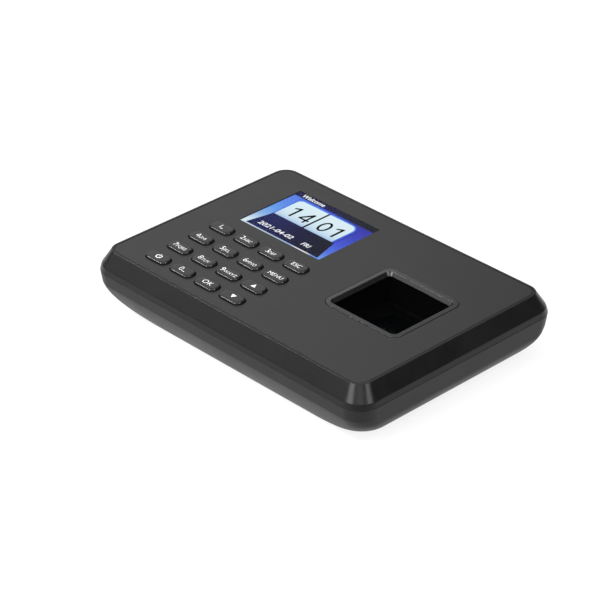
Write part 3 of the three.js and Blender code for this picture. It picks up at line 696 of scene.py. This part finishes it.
def rear_shell():
    top_z = PARTING_Z - PARTING_GAP / 2
    lip_inset = WALL - LIP_WALL
    start_z = PARTING_Z - TAPER_DEPTH[1]
    rim = fillet(
        (DRAFT * TAPER_DEPTH[1], start_z, 0),
        (0, top_z, PARTING_EDGE),
        (lip_inset, top_z, 0),
        (lip_inset, PARTING_Z + LIP_HEIGHT, 0),
        (WALL, PARTING_Z + LIP_HEIGHT, 0),
        (WALL, start_z, 0),
    )
    inside = list(reversed(taper_rings(WALL, FLOOR_Z)))
    body = skin(taper_rings(0, BACK_Z) + framed(rim[1:-1], GIRTH, GIRTH_RADIUS) + inside)
    screws = [middle(node) for node in nodes_named("case_screw")]
    towers = [cylinder(at, TOWER_RADIUS, TOWER_LOW_Z, TOWER_TOP_Z, 40) for at in screws]
    body = carved(body, towers, "UNION")
    cutters = [*port_cutters(), *back_slots()]
    for at in screws:
        hole = [
            (COUNTERBORE_RADIUS, BACK_Z - 3 * MM),
            (COUNTERBORE_RADIUS, COUNTERBORE_Z),
            (SCREW_HOLE_RADIUS, COUNTERBORE_Z),
            (SCREW_HOLE_RADIUS, TOWER_TOP_Z + MM),
        ]
        cutters.append(turned(hole, at))
    for node in nodes_named("foot"):
        centre, (radius, _) = footprint(node)
        pocket = radius + FOOT_POCKET_GAP
        cutters.append(cylinder(centre, pocket, BACK_Z - MM, BACK_Z + FOOT_POCKET_DEPTH))
    piece("rear_casing", carved(body, cutters), rear_black, ["rear_shell"])


front_shell()
rear_shell()

# ------------ face


def face_panel():
    half = (panel_high.x, panel_high.y)
    radius = FACE_RADIUS - PANEL_RIM
    profile = fillet((0, panel_low.z, 0), (0, FACE_Z, HOLE_EDGE), (MM, FACE_Z, 0))
    low = panel_low.z - MM
    cutters = [
        flared_cutter(grown(half_key, KEY_HOLE_GAP), KEY_RADIUS + KEY_HOLE_GAP, centre, low, FACE_Z)
        for _, centre, half_key in key_places()
    ]
    window_half = grown(SCREEN_HALF, WINDOW_GAP)
    cutters.append(flared_cutter(window_half, WINDOW_CORNER, SCREEN_CENTRE, low, FACE_Z))
    reach = RING_RIM + RING_GAP
    ring_half = grown(WELL_HALF, reach)
    cutters.append(flared_cutter(ring_half, RING_RADIUS + reach, WELL_CENTRE, low, FACE_Z, CORNER_STEPS))
    body = carved(skin(framed(profile, half, radius)), cutters)
    piece("panel_sheet", body, panel_black, ["face_panel"])


def key_caps():
    flange_top = PLATE_Z - KEY_FLANGE_GAP
    for name, centre, half in key_places():
        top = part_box(name)[1].z
        profile = fillet(
            (-KEY_FLANGE, flange_top - KEY_FLANGE_THICK, 0),
            (-KEY_FLANGE, flange_top, 0),
            (0, flange_top, 0),
            (0, top - KEY_CROWN, KEY_EDGE),
            (KEY_SLOPE, top, KEY_SLOPE_EDGE),
            (KEY_SLOPE + KEY_FLAT, top, 0),
        )
        body = skin(framed(profile, half, KEY_RADIUS, centre, steps=12))
        cap = "cap" + name.removeprefix("key")
        piece(cap, body, key_black, [name], body=name, sharp=50)


def text_mesh(text, weight, slant):
    """Text as a bmesh, with its baseline at y = 0, in the units of the font."""
    curve = bpy.data.curves.new("lettering", "FONT")
    curve.body = text
    curve.extrude = 0.02
    curve.offset = weight
    curve.shear = slant
    curve.resolution_u = 6
    writer = add_object("lettering", curve)
    bm = evaluated(writer)
    bpy.data.objects.remove(writer)
    bpy.data.curves.remove(curve)
    bmesh.ops.remove_doubles(bm, verts=bm.verts, dist=1e-5)
    return bm


def reach_of(bm, axis):
    places = [vert.co[axis] for vert in bm.verts]
    return min(places), max(places)


def lettering(text, height, thickness, weight, slant=0.0):
    """Text as a bmesh with capitals of that height, its baseline from the origin, and its width."""
    capital = text_mesh("H", weight, 0.0)
    low, high = reach_of(capital, 1)
    capital.free()
    scale = height / (high - low)
    bm = text_mesh(text, weight, slant)
    left, right = reach_of(bm, 0)
    under, over = reach_of(bm, 2)
    for vert in bm.verts:
        x, y, z = vert.co
        vert.co = ((x - left) * scale, y * scale, (z - under) * thickness / (over - under))
    return bm, (right - left) * scale


def digit_legend(digit, letters):
    """A large digit with small letters to its right, or the mark for a space."""
    big, big_width = lettering(digit, DIGIT_HEIGHT, INK, LEGEND_WEIGHT)
    if letters == "_":
        start = big_width + SPACE_GAP
        end = start + SPACE_LENGTH
        mark = slab(box_outline(start, 0, end, LINE), 0, INK)
        return gathered([big, mark]), end, DIGIT_HEIGHT
    small, small_width = lettering(letters, LETTER_HEIGHT, INK, LEGEND_WEIGHT)
    start = big_width + LETTER_GAP
    return gathered([big, moved(small, start, 0, 0)]), start + small_width, DIGIT_HEIGHT


def arrow_legend(up):
    width, height = ARROW
    base, tip = (0, height) if up else (height, 0)
    outline = [(0, base), (width, base), (width / 2, tip)]
    return slab(outline, 0, INK), width, height


def power_legend():
    """A ring that is open at the top, with a bar through the opening."""
    centre = POWER_RADIUS
    inner = POWER_RADIUS - LINE * 1.3
    steps = 28
    span = 2 * math.pi - 2 * POWER_OPENING
    angles = [math.pi / 2 + POWER_OPENING + span * step / steps for step in range(steps + 1)]
    ring = around(centre, centre, POWER_RADIUS, angles) + around(centre, centre, inner, angles[::-1])
    half = LINE * 0.65
    bar = box_outline(centre - half, centre, centre + half, centre + 1.15 * POWER_RADIUS)
    size = 2 * POWER_RADIUS
    return gathered([slab(ring, 0, INK), slab(bar, 0, INK)]), size, size


def legend(name):
    """The print on a key, with its width and height."""
    if name in KEY_WORDS:
        word, height = KEY_WORDS[name]
        return *lettering(word, height, INK, LEGEND_WEIGHT), height
    if name == "key_power":
        return power_legend()
    if name in ("key_up", "key_down"):
        return arrow_legend(name == "key_up")
    digit = name.removeprefix("key_")
    return digit_legend(digit, KEY_LETTERS[int(digit)])


def legends():
    for name, centre, _ in key_places():
        bm, width, height = legend(name)
        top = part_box(name)[1].z
        moved(bm, centre[0] - width / 2, centre[1] - height / 2 + LEGEND_RAISE, top - INK / 3)
        piece("legend" + name.removeprefix("key"), bm, legend_white, body=name)


# ------------ finger well


def well_ring():
    inset, depth = FUNNEL
    throat_z = FACE_Z - depth
    lip_edge, throat_edge, crown_edge, rim_edge = RING_EDGES
    profile = fillet(
        (-RING_COLLAR, panel_low.z, 0),
        (-RING_COLLAR, RING_LOW_Z, 0),
        (0, RING_LOW_Z, 0),
        (0, throat_z - 1.5 * FUNNEL_LIP, 0),
        (inset, throat_z - FUNNEL_LIP, lip_edge),
        (inset, throat_z, throat_edge),
        (-FUNNEL_TOP, FACE_Z + RING_RISE, crown_edge),
        (-RING_RIM, FACE_Z + RING_RISE / 2, rim_edge),
        (-RING_RIM, panel_low.z, 0),
    )
    body = skin(framed(profile, WELL_HALF, RING_RADIUS, WELL_CENTRE), closed=True)
    piece("well_bezel", body, ring_black, ["well_ring"])


def tub_ring(half, radius, depth, extra=0.0):
    """An outline of the tub, tilted more the deeper it lies."""
    fall = math.tan(WELL_TILT) * min(depth / WELL_FLOOR_DEPTH, 1)
    z = TUB_TOP_Z - depth - extra
    return rounded_outline(half, radius, z, WELL_CENTRE, -fall)


def on_well_floor(bm):
    """Lays a bmesh on the tilted floor, with its origin under the middle of the mouth."""
    place = Matrix.Translation((*WELL_CENTRE, FACE_Z - WELL_DEPTH))
    bmesh.ops.transform(bm, matrix=place @ Matrix.Rotation(-WELL_TILT, 4, "X"), verts=bm.verts)
    return bm


def well_tub():
    flange_half = grown(WELL_HALF, TUB_FLANGE)
    flange_radius = RING_RADIUS + TUB_FLANGE
    outer_half = grown(WELL_HALF, TUB_WALL)
    outer_radius = RING_RADIUS + TUB_WALL
    floor_half = grown(outer_half, -TUB_SHRINK)
    rings = [
        tub_ring(floor_half, outer_radius, WELL_FLOOR_DEPTH, WELL_FLOOR_THICK),
        tub_ring(outer_half, outer_radius, TUB_FLANGE_THICK),
        tub_ring(flange_half, flange_radius, TUB_FLANGE_THICK),
        tub_ring(flange_half, flange_radius, 0),
    ]
    inside = fillet(
        (0, 0, 0),
        (TUB_SHRINK, WELL_FLOOR_DEPTH, TUB_CURVE),
        (TUB_SHRINK + TUB_FLOOR_RING, WELL_FLOOR_DEPTH, 0),
        steps=8,
    )
    rings += [tub_ring(grown(WELL_HALF, -inset), RING_RADIUS, depth) for inset, depth in inside]
    x, y = SCAN_HOLE_HALF
    window = block((-x, -y, -SCAN_HOLE_REACH), (x, y, SCAN_HOLE_REACH))
    body = carved(skin(rings), [on_well_floor(window)])
    # The lining's near-black material paints the shade inside the deep well
    piece("well_lining", body, well_black_painted_shade, ["well_tub"])


def scanning_glass():
    x, y = SCAN_HALF
    body = bevelled(block((-x, -y, -WELL_FLOOR_THICK), (x, y, -SCAN_SUNK)), SCAN_EDGE)
    piece("scan_window", on_well_floor(body), scan_glass, ["sensor_glass"])


# ------------ display


def window_cover():
    body = bevelled(block(*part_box("display_window")), 0.06 * MM, 2)
    piece("window_cover", body, clear_acrylic, ["display_window"])


# The picture is drawn in millimetres from the middle of the display.
PAGE_HALF = (SCREEN_HALF[0] / MM - 0.02, SCREEN_HALF[1] / MM - 0.02)
STRIP_Y = 17.0  # bottom of the title strip
TILES = (-21.6, -4.0, 19.7, 14.8)  # left, bottom, right and top of the pair of tiles
SEAM = (-1.3, -0.1)  # sides of the seam between the tiles
STRIPE_Y = -19.9  # top of the bright stripe along the bottom of the page
DIGIT_Y = -0.8
DIGIT_TALL = 9.9
TEXT_LEVEL = 5
TEXT_SLANT = 0.1

ACROSS = (1, 0)
UP = (0, 1)
PAGE_COLOURS = {
    "sky": (ACROSS, (0, "5a80ea"), (0.2, "4f66e2"), (0.5, "475ad6"), (0.75, "3e44b2"), (1, "3c3eae")),
    "glow": (
        UP, (0, "e6f7fa"), (0.1, "dcf0f8"), (0.3, "92baea"),
        (0.5, "6ca2f1"), (0.7, "6490ee"), (0.92, "5c82ea"),
    ),
    "dusk": (
        UP, (0, "76a6f6"), (0.2, "5877e6"), (0.42, "4b5dd8"),
        (0.62, "444dc3"), (0.85, "3e40b0"), (1, "3c3eac"),
    ),
    "shine": (
        ACROSS, (0, "dff2f8"), (0.2, "cbdde8"), (0.45, "b4cce2"),
        (0.62, "9cbcec"), (0.7, "e4e6e8"), (0.83, "eef0f2"), (0.9, "6f98e6"),
    ),
    "title": (ACROSS, (0, "2b2c55"), (0.45, "2b2b4e"), (0.7, "2c2c40"), (1, "29292c")),
    "halo": (UP, (0.3, "4f74e4"), (0.8, "5b8cf4"), (0.9, "62a0ff")),
    "ground": (ACROSS, (0, "242856"), (0.2, "2a2f60"), (0.5, "262648"), (0.75, "242438"), (1, "26272f")),
    "tile": (UP, (0.4, "a8c8ec"), (0.46, "cfe4f4"), (0.56, "dcf2fa"), (0.84, "e6f8fd")),
    "seam": (UP, (0, "141829"), (1, "10131f")),
    "ink": (UP, (0, "101114"), (1, "0a0b0d")),
    "text_light": (ACROSS, (0, "ffffff"), (1, "f4f8ff")),
}


def lit(name):
    """A lit colour of the page, which runs through its ramp along a direction of the display."""
    along, *ramp = PAGE_COLOURS[name]
    shader = Shader("screen_" + name, Base_Color=(0, 0, 0, 1), Roughness=0.5, Specular_IOR_Level=0.0)
    shader.base.inputs["Emission Strength"].default_value = SCREEN_GLOW
    reach = along[0] * SCREEN_HALF[0] + along[1] * SCREEN_HALF[1]
    start = along[0] * SCREEN_CENTRE[0] + along[1] * SCREEN_CENTRE[1]
    direction = shader.node(
        "ShaderNodeVectorMath", {0: shader.place, 1: (*along, 0)}, operation="DOT_PRODUCT"
    )
    share = shader.spread(direction.outputs["Value"], 0, 1, start - reach, start + reach)
    band = shader.node("ShaderNodeValToRGB", {"Fac": share})
    stops = band.color_ramp.elements
    for stop, (place, code) in zip(stops, (ramp[0], ramp[-1])):
        stop.position = place
        stop.color = colour(code)
    for place, code in ramp[1:-1]:
        stops.new(place).color = colour(code)
    shader.feed("Emission Color", band.outputs["Color"])
    return shader.material


def on_screen(points):
    return [(SCREEN_CENTRE[0] + x * MM, SCREEN_CENTRE[1] + y * MM) for x, y in points]


def level_z(level):
    return LCD_TOP_Z + SCREEN_STEP * (level + 0.5)


def screen_slab(points, level):
    low = level_z(level)
    return slab(on_screen(points), low, low + SCREEN_STEP / 2)


def screen_layer(name, points, level, material):
    piece("screen_" + name, screen_slab(points, level), material)


def screen_text(name, text, height, corner, width, weight, material):
    """A line of text with its lower left corner at a place on the page."""
    bm, natural = lettering(text, height * MM, SCREEN_STEP / 2, weight, TEXT_SLANT)
    bmesh.ops.scale(bm, verts=bm.verts, vec=(width * MM / natural, 1, 1))
    ((left, bottom),) = on_screen([corner])
    piece("screen_" + name, moved(bm, left, bottom, level_z(TEXT_LEVEL)), material)


def digit_one(x):
    """A plain 1 with a slanted flag, its stem starting at x."""
    stem, flag = 1.4, 2.6
    top = DIGIT_Y + DIGIT_TALL
    outline = [
        (x, DIGIT_Y),
        (x + stem, DIGIT_Y),
        (x + stem, top),
        (x + 0.3, top),
        (x - flag, top - 1.7),
        (x - flag, top - 2.9),
        (x, top - 1.7),
    ]
    return screen_slab(outline, TEXT_LEVEL)


def digit_four(x):
    """An open 4 with its left end at x."""
    stroke, reach = 1.2, 6.9
    stem_x, bar_y = x + 4.4, DIGIT_Y + 2.1
    top = DIGIT_Y + DIGIT_TALL
    slope = [
        (x, bar_y + stroke),
        (x + 1.3 * stroke, bar_y + stroke),
        (stem_x + stroke / 2, top - 1.6 * stroke),
        (stem_x + stroke / 2, top),
        (stem_x - 0.1, top),
    ]
    stem = box_outline(stem_x, DIGIT_Y, stem_x + stroke, top)
    bar = box_outline(x, bar_y, x + reach, bar_y + stroke)
    return gathered([screen_slab(points, TEXT_LEVEL) for points in (stem, bar, slope)])


def digit_zero(x):
    """A plain 0 with its left end at x."""
    half_x, half_y, stroke, steps = 3.2, DIGIT_TALL / 2, 1.3, 36
    centre_x, centre_y = x + half_x, DIGIT_Y + half_y
    angles = [2 * math.pi * step / steps for step in range(steps)]
    low = level_z(TEXT_LEVEL)
    high = low + SCREEN_STEP / 2
    rings = []
    for inset, z in ((0, low), (stroke, low), (stroke, high), (0, high)):
        wide, tall = half_x - inset, half_y - inset
        points = [(centre_x + wide * math.cos(a), centre_y + tall * math.sin(a)) for a in angles]
        rings.append([(px, py, z) for px, py in on_screen(points)])
    return skin(rings, closed=True)


def page_backdrop():
    """The coloured page behind the tiles, lighter towards its bottom corners, and its title strip."""
    x, y = PAGE_HALF
    screen_layer("page", box_outline(-x, -y, x, y), 0, lit("sky"))
    wedge = [(-x, -y), (-24.4, -y), (-22.4, -4), (-23.2, STRIP_Y), (-x, STRIP_Y)]
    screen_layer("left_glow", wedge, 1, lit("glow"))
    wedge = [(20.6, -y), (x, -y), (x, STRIP_Y), (22.6, STRIP_Y)]
    screen_layer("right_glow", wedge, 1, lit("dusk"))
    screen_layer("stripe", box_outline(-x, -y, x, STRIPE_Y), 2, lit("shine"))
    screen_layer("title_strip", box_outline(-x, STRIP_Y, x, y), 2, lit("title"))


def arc_corner(x, y, radius, start):
    """A quarter turn about (x, y) from an angle given in quarter turns."""
    return around(x, y, radius, [(start + step / 6) * math.pi / 2 for step in range(7)])


def tile_pair(name, grow, corner, level):
    """The two tiles, each with one round corner on the outside."""
    left, low = TILES[0] - grow, TILES[1] - grow
    right, high = TILES[2] + grow, TILES[3] + grow
    far = 1.6 * corner
    hour_arc = arc_corner(left + corner, high - corner, corner, 1)
    minute_arc = arc_corner(right - far, high - far, far, 0)
    hour = [(left, low), (SEAM[0], low), (SEAM[0], high), *hour_arc]
    minute = [(SEAM[1], low), (right, low), *minute_arc, (SEAM[1], high)]
    material = lit(name)
    screen_layer(f"hour_{name}", hour, level, material)
    screen_layer(f"minute_{name}", minute, level, material)


def display_picture():
    """A clock page: title strip, two flip tiles with the time, and the date under them."""
    page_backdrop()
    tile_pair("halo", 0.9, 3.4, 3)
    ground = [(-25.4, STRIPE_Y), (26.2, STRIPE_Y), (21.8, TILES[1]), (-21.8, TILES[1])]
    screen_layer("date_ground", ground, 4, lit("ground"))
    tile_pair("tile", 0, 2.8, 4)
    screen_layer("tile_seam", box_outline(SEAM[0], -5, SEAM[1], 14.9), 5, lit("seam"))
    ink = lit("ink")
    digits = {"a": digit_one(-14.9), "b": digit_four(-9.7), "c": digit_zero(3.5), "d": digit_one(15.1)}
    for letter, bm in digits.items():
        piece("screen_digit_" + letter, bm, ink)
    light = lit("text_light")
    screen_text("date", "2021-04-02", 3.1, (-20.4, -16.6), 24.1, 0.02, light)
    screen_text("day", "FRI", 3.0, (10.7, -16.6), 5.5, 0.02, light)
    screen_text("heading", "Welcome", 3.0, (-24.5, 17.9), 15.8, 0.022, light)


# ------------ sockets, feet and screws


def usb_socket():
    low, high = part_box("usb_shell")
    centre = (low + high) / 2
    half = ((high.z - low.z) / 2, (high.y - low.y) / 2)
    length = high.x - low.x
    profile = fillet(
        (0, length, 0),
        (0, 0, USB_EDGE),
        (USB_SHEET, 0, USB_EDGE),
        (USB_SHEET, length - USB_SHEET, 0),
    )
    rings = framed(profile, half, USB_CORNER, steps=6)
    shell = laid_along_x(skin(rings), Vector((low.x, centre.y, centre.z)))
    piece("usb_port_shell", shell, plated_steel, ["usb_shell"])

    tongue_low, tongue_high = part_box("usb_tongue")
    tongue = bevelled(block(tongue_low, tongue_high), 0.25 * MM, 2)
    piece("usb_port_tongue", tongue, white_plastic, ["usb_tongue"])
    for number in range(4):
        y = centre.y + (number - 1.5) * USB_CONTACT_PITCH
        start = (tongue_low.x + MM, y - USB_CONTACT_HALF, tongue_low.z - USB_CONTACT_THICK)
        end = (tongue_high.x - MM, y + USB_CONTACT_HALF, tongue_low.z)
        contact = bevelled(block(start, end), 0.04 * MM, 1)
        piece(f"usb_contact_{number + 1}", contact, gold_contact)


def power_jack():
    low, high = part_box("power_jack")
    centre = (low + high) / 2
    at = Vector((low.x, centre.y, centre.z))
    housing = bevelled(block((low.x + JACK_NOSE_LENGTH, low.y, low.z), high), 0.3 * MM, 2)
    hole = cylinder((0, 0), JACK_BORE_RADIUS, -MM, JACK_BORE_DEPTH)
    body = carved(housing, [laid_along_x(hole, at)])
    seated = JACK_NOSE_LENGTH + 0.3 * MM
    tube = fillet(
        (JACK_BORE_RADIUS, seated, 0),
        (JACK_BORE_RADIUS, 0, 0.15 * MM),
        (JACK_NOSE_RADIUS, 0, 0.3 * MM),
        (JACK_NOSE_RADIUS, seated, 0),
    )
    rings = [circle((0, 0), radius, z, 48) for radius, z in tube]
    mouth = laid_along_x(skin(rings, closed=True), at)
    piece("jack_housing", gathered([body, mouth]), port_black, ["power_jack"])
    pin = fillet((0.02 * MM, MM, 0), (JACK_PIN_RADIUS, MM, 0.6 * MM), (JACK_PIN_RADIUS, JACK_BORE_DEPTH, 0))
    piece("jack_pin", laid_along_x(turned(pin, (0, 0), 24), at), plated_steel)


def foot(node):
    centre, (radius, _) = footprint(node)
    profile = fillet(
        (0.5 * MM, FOOT_HOLLOW, 0),
        (radius * 0.55, FOOT_HOLLOW, 0.2 * MM),
        (radius * 0.62, 0, 0.2 * MM),
        (radius - 0.2 * MM, 0, 0.4 * MM),
        (radius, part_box(node)[1].z, 0),
        steps=4,
    )
    body = turned(profile, centre, 64)
    piece(node.replace("foot", "rubber_foot"), body, mat_black, [node])


def cross_recess(centre, low_z, arm):
    """The two tapered bars that cut a cross into a screw's head."""
    half = 0.32 * MM
    for x, y in ((arm, half), (half, arm)):
        rings = []
        for share, z in ((1, low_z - MM), (1, low_z), (RECESS_TAPER, low_z + RECESS_DEPTH)):
            wide, tall = x * share, y * share
            sides = (centre.x - wide, centre.y - tall, centre.x + wide, centre.y + tall)
            rings.append([(px, py, z) for px, py in box_outline(*sides)])
        yield skin(rings)


def screw(node, name):
    """A pan-head screw with a cross recess, its head down."""
    low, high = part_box(node)
    centre = middle(node)
    radius = (high.x - low.x) / 2
    seat = low.z + SCREW_HEAD
    profile = fillet(
        (0.1 * MM, low.z, 0),
        (radius * 0.72, low.z + 0.1 * MM, 0.3 * MM),
        (radius, seat - 0.8 * MM, 0.5 * MM),
        (radius, seat, 0),
        (SCREW_SHANK, seat, 0),
        steps=5,
    )
    shank = [tuple(point) for point in profile]
    for turn in range(int((high.z - seat - MM) / SCREW_PITCH)):
        z = seat + (turn + 0.5) * SCREW_PITCH
        shank += [(SCREW_ROOT, z), (SCREW_SHANK, z + SCREW_PITCH / 2)]
    shank += [(1.1 * MM, high.z - 0.6 * MM), (0.4 * MM, high.z)]
    body = turned(shank, centre, 32)
    for bar in cross_recess(centre, low.z, radius * 0.6):
        body = carved(body, [bar])
    piece(name, body, screw_steel, [node])


def interior():
    """Gives the CAD nodes that stay in the visual model their materials."""
    kept = {
        lcd_glass: ["lcd_panel"],
        white_plastic: ["backlight"],
        mat_black: ["keypad_mat"],
        green_board: ["keypad_board", "main_board", "sensor_board"],
        chip_black: ["processor", "coin_cell_holder", "sensor_housing"],
        plated_steel: ["lcd_tray", "coin_cell", "speaker_frame"],
        paper_cone: ["speaker_cone"],
        amber_film: ["display_ribbon", "keypad_ribbon"],
        grey_cable: ["sensor_cable"],
        screw_steel: [*nodes_named("board_"), *nodes_named("keypad_screw"), *nodes_named("well_screw")],
    }
    for material, nodes in kept.items():
        for node in nodes:
            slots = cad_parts[node].data.materials
            slots.clear()
            slots.append(material)


face_panel()
key_caps()
legends()
well_ring()
well_tub()
scanning_glass()
window_cover()
display_picture()
usb_socket()
power_jack()
for node in nodes_named("foot"):
    foot(node)
for node in nodes_named("case_screw"):
    screw(node, node.replace("case_screw", "screw"))
interior()

# ------------ camera, floor and light

CAMERA_AZIMUTH = math.radians(46.565)
CAMERA_ELEVATION = math.radians(30.848)
CAMERA_ROLL = math.radians(-0.479)
CAMERA_DISTANCE = 1.2819
CAMERA_SHIFT = (-0.00755, -0.01724)  # of the optical axis from the middle of the face
CAMERA_LENS = 156.17

FLOOR_REACH = 6.0
FLOOR_GLOW = 0.82
FLOOR_BRIGHT = 0.45  # the floor is evenly bright this far from the clock
FLOOR_DIM = 1.6  # and at its dimmest from here on
ROOM_GLOW = 0.04

# Name, azimuth and elevation in degrees, distance and size in metres, power in watts.
SOFTBOXES = (
    ("overhead", 0, 90, 2.2, (2.4, 2.4), 32),
    ("left", -112, 28, 2.2, (2.2, 1.2), 7.8),
    ("fill", 46, 30, 1.6, (0.9, 0.6), 4.2),
    ("front", -3, 31, 1.6, (0.7, 0.8), 14),
    ("right", 92, 31, 1.6, (0.55, 0.7), 7),
    ("front_left", -51, 21, 2.2, (1.2, 0.8), 3.8),
    ("key_left", -60, 42, 1.8, (0.5, 0.3), 13),
    ("glint_front", -17, 50, 1.6, (0.28, 0.28), 10),
    ("glint_right", 110, 50, 1.6, (0.25, 0.25), 6),
)


def way_to(azimuth, elevation):
    """Direction of a place seen from the clock. Azimuth 0 is in front of it and 90 degrees to its right."""
    level = math.cos(elevation)
    return Vector((level * math.sin(azimuth), -level * math.cos(azimuth), math.sin(elevation)))


def camera():
    back = way_to(CAMERA_AZIMUTH, CAMERA_ELEVATION)
    level = Vector((math.cos(CAMERA_AZIMUTH), math.sin(CAMERA_AZIMUTH), 0))
    upright = back.cross(level)
    right = level * math.cos(CAMERA_ROLL) + upright * math.sin(CAMERA_ROLL)
    up = back.cross(right)
    data = bpy.data.cameras.new("camera")
    data.lens = CAMERA_LENS
    data.clip_start = 0.05
    data.clip_end = 50
    obj = add_object("camera", data)
    axes = Matrix((right, up, back)).transposed().to_4x4()
    target = Vector((0, 0, FACE_Z)) + right * CAMERA_SHIFT[0] + up * CAMERA_SHIFT[1]
    obj.matrix_world = Matrix.Translation(target + back * CAMERA_DISTANCE) @ axes
    bpy.context.scene.camera = obj


def softbox(name, azimuth, elevation, distance, size, power):
    """An area light that looks at the clock."""
    way = way_to(math.radians(azimuth), math.radians(elevation))
    data = bpy.data.lights.new(name, "AREA")
    data.shape = "RECTANGLE"
    data.size, data.size_y = size
    data.energy = power
    obj = add_object(name, data)
    obj.location = way * distance
    obj.rotation_euler = way.to_track_quat("Z", "Y").to_euler()


def floor():
    """A pale floor, lit evenly round the clock and darker far away, as a studio table is."""
    outline = box_outline(-FLOOR_REACH, -FLOOR_REACH, FLOOR_REACH, FLOOR_REACH)
    corners = [(x, y, 0) for x, y in outline]
    mesh = bpy.data.meshes.new("floor")
    mesh.from_pydata(corners, [], [(0, 1, 2, 3)])
    shader = Shader("floor_white", Roughness=0.9, Specular_IOR_Level=0.0)
    faint = shader.noise(0.4, detail=2)
    shader.feed("Base Color", shader.mixed(faint, colour("808080"), colour("838383")))
    away = shader.node("ShaderNodeVectorMath", {0: shader.place}, operation="LENGTH")
    share = shader.spread(away.outputs["Value"], 0, 1, FLOOR_BRIGHT, FLOOR_DIM)
    shader.feed("Emission Color", shader.mixed(share, colour("ffffff"), colour("707070")))
    shader.base.inputs["Emission Strength"].default_value = FLOOR_GLOW
    mesh.materials.append(shader.material)
    add_object("floor", mesh)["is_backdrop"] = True


def lights():
    world = bpy.data.worlds.new("studio")
    world.use_nodes = True
    backdrop = world.node_tree.nodes["Background"]
    backdrop.inputs["Color"].default_value = (1, 1, 1, 1)
    backdrop.inputs["Strength"].default_value = ROOM_GLOW
    bpy.context.scene.world = world
    for settings in SOFTBOXES:
        softbox(*settings)


camera()
floor()
lights()
bpy.context.scene.view_settings.view_transform = "Standard"

visual_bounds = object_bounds()
sizes = {"cad": cad_bounds, "visual": visual_bounds}
{name: [list(corner) for corner in corners] for name, corners in sizes.items()}
